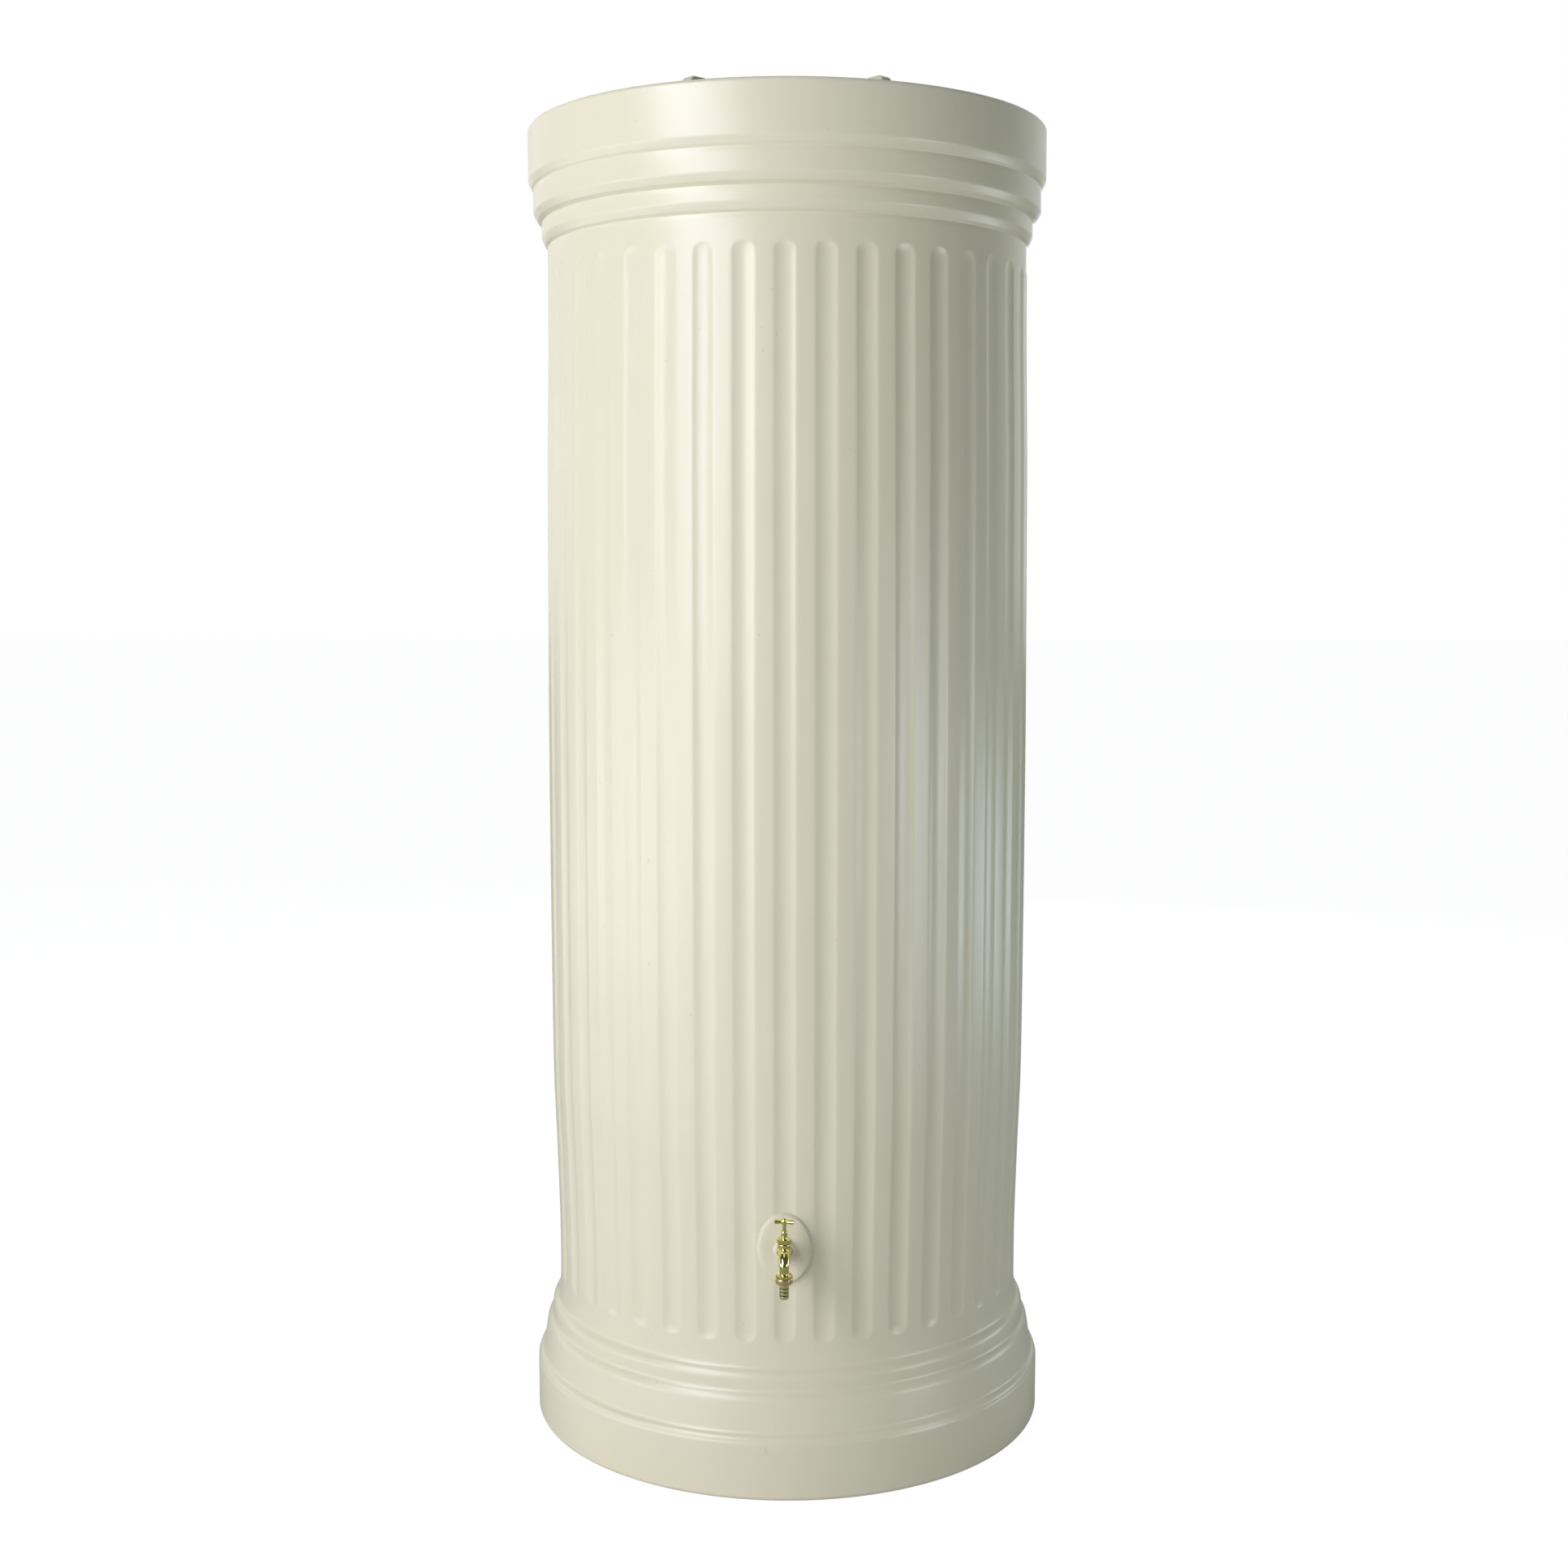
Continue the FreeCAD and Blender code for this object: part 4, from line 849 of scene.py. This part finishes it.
def hose_tail():
    """Tube with grooves for the hose and a flange inside the union nut."""
    corners = [(HOSE_BORE, HOSE_END, 0), (HOSE_TIP, HOSE_END, 0.3), (HOSE_RADIUS, HOSE_END + HOSE_LEAD, 0.4)]
    half = GROOVE_WIDTH / 2
    for i in range(GROOVE_COUNT):
        z = HOSE_END + GROOVE_STEP * (i + 1)
        corners += [(HOSE_RADIUS, z - half, GROOVE_EDGE), (GROOVE_RADIUS, z - half + 0.1, GROOVE_EDGE),
                    (GROOVE_RADIUS, z + half - 0.1, GROOVE_EDGE), (HOSE_RADIUS, z + half, GROOVE_EDGE)]
    shoulder = NUT_FOOT - 0.4
    corners += [(HOSE_RADIUS, shoulder, GROOVE_EDGE), (HOSE_NECK, shoulder, 0.1),
                (HOSE_NECK, HOSE_FLANGE_FOOT, 0), (HOSE_FLANGE, HOSE_FLANGE_FOOT, 0),
                (HOSE_FLANGE, HOSE_FLANGE_TOP, 0), (HOSE_BORE, HOSE_FLANGE_TOP, 0)]
    return lathe(rounded(corners, step=0.12), 72).moved(y=SPOUT_AXIS)


def nodes_of(owner):
    """The nodes and links of a material or a world."""
    return owner.node_tree.nodes, owner.node_tree.links


def new_material(name, color, roughness, metallic=0.0):
    material = bpy.data.materials.new(name)
    material.use_nodes = True
    shader = material.node_tree.nodes["Principled BSDF"]
    shader.inputs["Base Color"].default_value = color + (1.0,)
    shader.inputs["Roughness"].default_value = roughness
    shader.inputs["Metallic"].default_value = metallic
    return material, shader


def noise(material, scale, detail=3.0, stretch=(1, 1, 1)):
    nodes, links = nodes_of(material)
    coords = nodes.new("ShaderNodeTexCoord")
    mapping = nodes.new("ShaderNodeMapping")
    mapping.inputs["Scale"].default_value = stretch
    texture = nodes.new("ShaderNodeTexNoise")
    texture.inputs["Scale"].default_value = scale
    texture.inputs["Detail"].default_value = detail
    links.new(coords.outputs["Object"], mapping.inputs["Vector"])
    links.new(mapping.outputs["Vector"], texture.inputs["Vector"])
    return texture.outputs["Fac"]


def ranged(owner, value, low, high, start=0.3, end=0.7, curve="LINEAR"):
    """From low, where the value is at start, to high, where it is at end."""
    nodes, links = nodes_of(owner)
    node = nodes.new("ShaderNodeMapRange")
    node.interpolation_type = curve
    for name, number in (("From Min", start), ("From Max", end), ("To Min", low), ("To Max", high)):
        node.inputs[name].default_value = number
    links.new(value, node.inputs["Value"])
    return node.outputs["Result"]


def blended(owner, factor, first, second):
    """A colour between two, each a colour or a node's output."""
    nodes, links = nodes_of(owner)
    mix = nodes.new("ShaderNodeMix")
    mix.data_type = "RGBA"
    links.new(factor, mix.inputs["Factor"])
    for name, color in (("A", first), ("B", second)):
        if isinstance(color, tuple):
            mix.inputs[name].default_value = color + (1.0,)
        else:
            links.new(color, mix.inputs[name])
    return mix.outputs["Result"]


def calculated(owner, operation, *values):
    """What a math node makes of numbers and other nodes' outputs."""
    nodes, links = nodes_of(owner)
    node = nodes.new("ShaderNodeMath")
    node.operation = operation
    for socket, value in zip(node.inputs, values):
        if isinstance(value, float):
            socket.default_value = value
        else:
            links.new(value, socket)
    return node.outputs[0]


def either(owner, share, first, second):
    """One shader, and a share of a second one."""
    nodes, links = nodes_of(owner)
    mix = nodes.new("ShaderNodeMixShader")
    for socket, value in zip(mix.inputs, (share, first, second)):
        links.new(value, socket)
    return mix.outputs[0]


def bumped(material, shader, layers):
    """Bump from (height, strength, distance in metres) layers, one on top of the other."""
    nodes, links = nodes_of(material)
    normal = None
    for height, strength, distance in layers:
        bump = nodes.new("ShaderNodeBump")
        bump.inputs["Strength"].default_value = strength
        bump.inputs["Distance"].default_value = distance
        links.new(height, bump.inputs["Height"])
        if normal is not None:
            links.new(normal, bump.inputs["Normal"])
        normal = bump.outputs["Normal"]
    links.new(normal, shader.inputs["Normal"])


def plastic(name, light, dark, roughness):
    """Moulded polyethylene: faint mottling, tiny specks, fine orange peel and a slightly uneven sheen."""
    material, shader = new_material(name, light, roughness)
    links = material.node_tree.links
    cloud = noise(material, scale=5.0, detail=4.0)
    color = blended(material, ranged(material, cloud, 0.0, 1.0), light, dark)
    specks = ranged(material, noise(material, scale=90.0, detail=2.0), 0.0, 0.3, start=0.735, end=0.775)
    color = blended(material, specks, color, tuple(c * SPECK_SHADE for c in dark))
    links.new(color, shader.inputs["Base Color"])
    sheen = ranged(material, noise(material, scale=14.0, detail=5.0), roughness - 0.015, roughness + 0.02)
    links.new(sheen, shader.inputs["Roughness"])
    shader.inputs["Specular IOR Level"].default_value = 0.45
    peel = noise(material, scale=420.0, detail=2.0)
    waves = noise(material, scale=7.0, detail=2.0, stretch=(1, 1, 0.35))
    bumped(material, shader, [(peel, 0.10, 0.0004), (waves, 0.08, 0.004)])
    return material


def recessed(material, axis, radius):
    """How deep a point lies inside a turned surface: 1 in its grooves, 0 on its outside."""
    nodes, links = nodes_of(material)
    coords = nodes.new("ShaderNodeTexCoord")
    flat = nodes.new("ShaderNodeMapping")
    flat.inputs["Location"].default_value = (0.0, -axis * MM, 0.0)
    flat.inputs["Scale"].default_value = (1.0, 1.0, 0.0)
    length = nodes.new("ShaderNodeVectorMath")
    length.operation = "LENGTH"
    links.new(coords.outputs["Object"], flat.inputs["Vector"])
    links.new(flat.outputs["Vector"], length.inputs[0])
    return ranged(material, length.outputs["Value"], 1.0, 0.0, (radius - 0.5) * MM, (radius - 0.1) * MM)


def brass(name, light, dark, roughness, recess=None):
    """Polished brass with faint tarnish and fine unevenness; a recess (axis, radius) is darkened with
    painted shade.
    """
    material, shader = new_material(name, light, roughness, metallic=1.0)
    links = material.node_tree.links
    cloud = noise(material, scale=160.0, detail=4.0)
    color = blended(material, ranged(material, cloud, 0.0, 1.0), light, dark)
    if recess:
        # Painted shade: the grooves are darkened as if they lay in shadow
        color = blended(material, recessed(material, *recess), color, GROOVE_PAINTED_SHADE)
    links.new(color, shader.inputs["Base Color"])
    polish = ranged(material, noise(material, scale=420.0, detail=4.0), roughness * 0.7, roughness * 1.5)
    links.new(polish, shader.inputs["Roughness"])
    bumped(material, shader, [(noise(material, scale=300.0), 0.12, 0.0003)])
    return material


def matt(name, light, dark, roughness, scale):
    """Rubber, fibre or packing: a fine mottled grain."""
    material, shader = new_material(name, light, roughness)
    links = material.node_tree.links
    grain = noise(material, scale, detail=6.0)
    color = blended(material, ranged(material, grain, 0.0, 1.0), light, dark)
    links.new(color, shader.inputs["Base Color"])
    uneven = ranged(material, grain, roughness - 0.08, min(1.0, roughness + 0.08))
    links.new(uneven, shader.inputs["Roughness"])
    bumped(material, shader, [(grain, 0.3, 0.0003)])
    return material


SPECK_SHADE = 0.72
# Painted shade for the hose tail's grooves, not a colour of the brass itself
GROOVE_PAINTED_SHADE = (0.045, 0.035, 0.012)
TANK = plastic("tank_sand", (0.672, 0.610, 0.425), (0.655, 0.594, 0.410), 0.30)
LID = plastic("lid_sand", (0.655, 0.596, 0.414), (0.635, 0.577, 0.398), 0.34)
BRASS = brass("brass_polished", (0.90, 0.80, 0.30), (0.84, 0.72, 0.23), 0.07)
BRASS_NUT = brass("brass_warm", (0.85, 0.68, 0.34), (0.78, 0.59, 0.27), 0.20)
# The hose tail's grooves get painted shade
BRASS_TAIL = brass("brass_tail", (0.92, 0.84, 0.40), (0.86, 0.76, 0.32), 0.16, (SPOUT_AXIS, HOSE_RADIUS))
RUBBER = matt("rubber_black", (0.022, 0.022, 0.023), (0.035, 0.034, 0.033), 0.78, 500.0)
FIBRE = matt("fibre_red", (0.16, 0.035, 0.02), (0.22, 0.055, 0.03), 0.85, 700.0)
PACKING = matt("packing_white", (0.72, 0.72, 0.69), (0.62, 0.62, 0.59), 0.65, 900.0)
BY_SLOT = {"tank_plastic": TANK, "lid_plastic": LID, "brass": BRASS, "rubber": RUBBER, "fibre": FIBRE,
           "packing": PACKING}

for part in frame["record"]["subparts"]:
    node = frame["nodes"][part["node"]]
    node.data.materials.clear()
    node.data.materials.append(BY_SLOT[part["material_slot"]])

skin = tank_skin().add(pad()).add(boss())
skin.add(helix_ridge(NECK_RADIUS - THREAD_ROOT, NECK_RADIUS + THREAD_CREST,
                     DECK_CENTRE + NECK_THREAD_LEVEL))
dress(smooth_mesh("tank_shell", skin, 50), "tank", TANK, "tank_plastic", "tank_body")
dress(smooth_mesh("screw_lid", lid()), "lid", LID, "lid_plastic", "lid")
dress(joined(tap_casting(), tap_machining()), "tank", BRASS, "brass", "tap_body")
dress(smooth_mesh("bonnet_hex", bonnet()), "tank", BRASS, "brass", "bonnet")
dress(smooth_mesh("gland_cap", gland()), "tank", BRASS, "brass", "gland_nut")
dress(smooth_mesh("valve_spindle", spindle()), "spindle", BRASS, "brass", "spindle")
dress(smooth_mesh("tee_bar", handle()), "spindle", BRASS, "brass", "tee_handle")
dress(smooth_mesh("dome_screw", screw()), "spindle", BRASS, "brass", "handle_screw")
dress(smooth_mesh("hose_nut", union_nut()), "tank", BRASS_NUT, "brass", "union_nut")
dress(smooth_mesh("grooved_tail", hose_tail()), "tank", BRASS_TAIL, "brass", "hose_tail")


# The studio, in metres: the floor from in front of the camera to far behind the tank
FLOOR_SIDE, FLOOR_FRONT, FLOOR_BACK = 30.0, -8.0, 40.0
FLOOR_PALE, FLOOR_WORN, FLOOR_MIRRORED = (0.80, 0.80, 0.80), (0.78, 0.78, 0.78), (0.36, 0.36, 0.36)
FLOOR_GLOW, FLOOR_GLOW_SHARE = 1.12, 0.85
# The room's light in front of the tank, behind it and overhead, and where each of the last two comes in
ROOM_FRONT = (0.07, 0.085, 0.09)
ROOM_BACK, BACK_SPAN = (0.48, 0.50, 0.58), (0.25, 0.85)
ROOM_TOP, TOP_SPAN = (0.80, 0.84, 0.92), (0.93, 0.99)
COOL, GREENISH = (0.815, 0.850, 1.0), (0.76, 0.88, 0.98)
# Azimuth in degrees from the camera's side, distance, height, width, tallness, radiance, colour, aim
LIGHTS = {
    "key_high": (-47, 5.0, 4.2, 2.2, 1.6, 10.8, COOL, 1.0),
    "key": (-36, 5.0, 2.35, 2.6, 2.4, 7.2, COOL, 1.0),
    "low": (-58, 5.0, 0.5, 5.4, 1.2, 4.3, COOL, 1.0),
    "side": (60, 5.0, 0.6, 1.8, 1.4, 6.8, GREENISH, 0.6),
    "rim": (105, 4.0, 0.4, 1.6, 0.8, 5.0, GREENISH, 0.4),
    "edge": (-108, 4.0, 0.4, 1.4, 0.8, 1.4, COOL, 0.4),
    "back": (170, 5.0, 2.4, 1.6, 2.8, 6.0, COOL, 1.0),
}
# The camera's place and sight in metres, its tilt and turn in degrees, its lens and sensor in millimetres
CAMERA_PLACE, CAMERA_TILT, CAMERA_TURN = (0.03534, -3.55182, 1.466), 84.04, 0.6627
LENS, SENSOR, SIGHT = 47.2, 36.0, 200.0


def floor():
    """Pale floor that stays white to the camera and still takes the tank's shadow."""
    mesh = bpy.data.meshes.new("floor")
    corners = [(-FLOOR_SIDE, FLOOR_FRONT, 0), (FLOOR_SIDE, FLOOR_FRONT, 0), (FLOOR_SIDE, FLOOR_BACK, 0),
               (-FLOOR_SIDE, FLOOR_BACK, 0)]
    mesh.from_pydata(corners, [], [(0, 1, 2, 3)])
    obj = bpy.data.objects.new("floor", mesh)
    bpy.context.scene.collection.objects.link(obj)
    material, shader = new_material("floor_white", FLOOR_PALE, 0.9)
    shader.inputs["Specular IOR Level"].default_value = 0.1
    nodes, links = nodes_of(material)
    path = nodes.new("ShaderNodeLightPath").outputs
    pale = blended(material, ranged(material, noise(material, scale=3.0), 0.0, 1.0), FLOOR_PALE, FLOOR_WORN)
    color = blended(material, path["Is Glossy Ray"], pale, FLOOR_MIRRORED)
    links.new(color, shader.inputs["Base Color"])
    glow = nodes.new("ShaderNodeEmission")
    glow.inputs["Color"].default_value = (1, 1, 1, 1)
    glow.inputs["Strength"].default_value = FLOOR_GLOW
    share = calculated(material, "MULTIPLY", path["Is Camera Ray"], FLOOR_GLOW_SHARE)
    links.new(either(material, share, shader.outputs[0], glow.outputs[0]),
              nodes["Material Output"].inputs["Surface"])
    mesh.materials.append(material)


def surroundings():
    """White to the camera and to reflections of what is behind the tank; else a room, dimmer in front."""
    world = bpy.data.worlds.new("studio")
    bpy.context.scene.world = world
    world.use_nodes = True
    nodes, links = nodes_of(world)
    seen = nodes["Background"]
    seen.inputs["Color"].default_value = (1, 1, 1, 1)
    seen.inputs["Strength"].default_value = 1.0
    room = nodes.new("ShaderNodeBackground")
    coords = nodes.new("ShaderNodeTexCoord")
    split = nodes.new("ShaderNodeSeparateXYZ")
    links.new(coords.outputs["Generated"], split.inputs[0])
    behind = ranged(world, split.outputs["Y"], 0.0, 1.0, *BACK_SPAN, "SMOOTHSTEP")
    overhead = ranged(world, split.outputs["Z"], 0.0, 1.0, *TOP_SPAN, "SMOOTHSTEP")
    color = blended(world, overhead, blended(world, behind, ROOM_FRONT, ROOM_BACK), ROOM_TOP)
    links.new(color, room.inputs["Color"])
    path = nodes.new("ShaderNodeLightPath").outputs
    mirrored = calculated(world, "MAXIMUM", path["Is Glossy Ray"], path["Is Transmission Ray"])
    white = calculated(world, "MULTIPLY_ADD", mirrored, behind, path["Is Camera Ray"])
    both = either(world, white, room.outputs[0], seen.outputs[0])
    links.new(both, nodes["World Output"].inputs["Surface"])


def softbox(name, azimuth, distance, height, width, tall, radiance, color, aim):
    """A rectangular area light that looks at the tank's axis."""
    angle = math.radians(azimuth)
    place = Vector((distance * math.sin(angle), -distance * math.cos(angle), height))
    light = bpy.data.lights.new(name, "AREA")
    light.shape = "RECTANGLE"
    light.size, light.size_y = width, tall
    light.energy = radiance * math.pi * width * tall
    light.color = color
    obj = bpy.data.objects.new(name, light)
    bpy.context.scene.collection.objects.link(obj)
    obj.location = place
    obj.rotation_euler = (Vector((0, 0, aim)) - place).to_track_quat("-Z", "Y").to_euler()


def camera():
    data = bpy.data.cameras.new("camera")
    data.lens = LENS
    data.sensor_width = SENSOR
    data.clip_end = SIGHT
    obj = bpy.data.objects.new("camera", data)
    bpy.context.scene.collection.objects.link(obj)
    obj.location = CAMERA_PLACE
    obj.rotation_euler = (math.radians(CAMERA_TILT), 0.0, math.radians(CAMERA_TURN))
    bpy.context.scene.camera = obj


bpy.context.scene.view_settings.view_transform = "Standard"
floor()
surroundings()
for name, values in LIGHTS.items():
    softbox(name, *values)
camera()
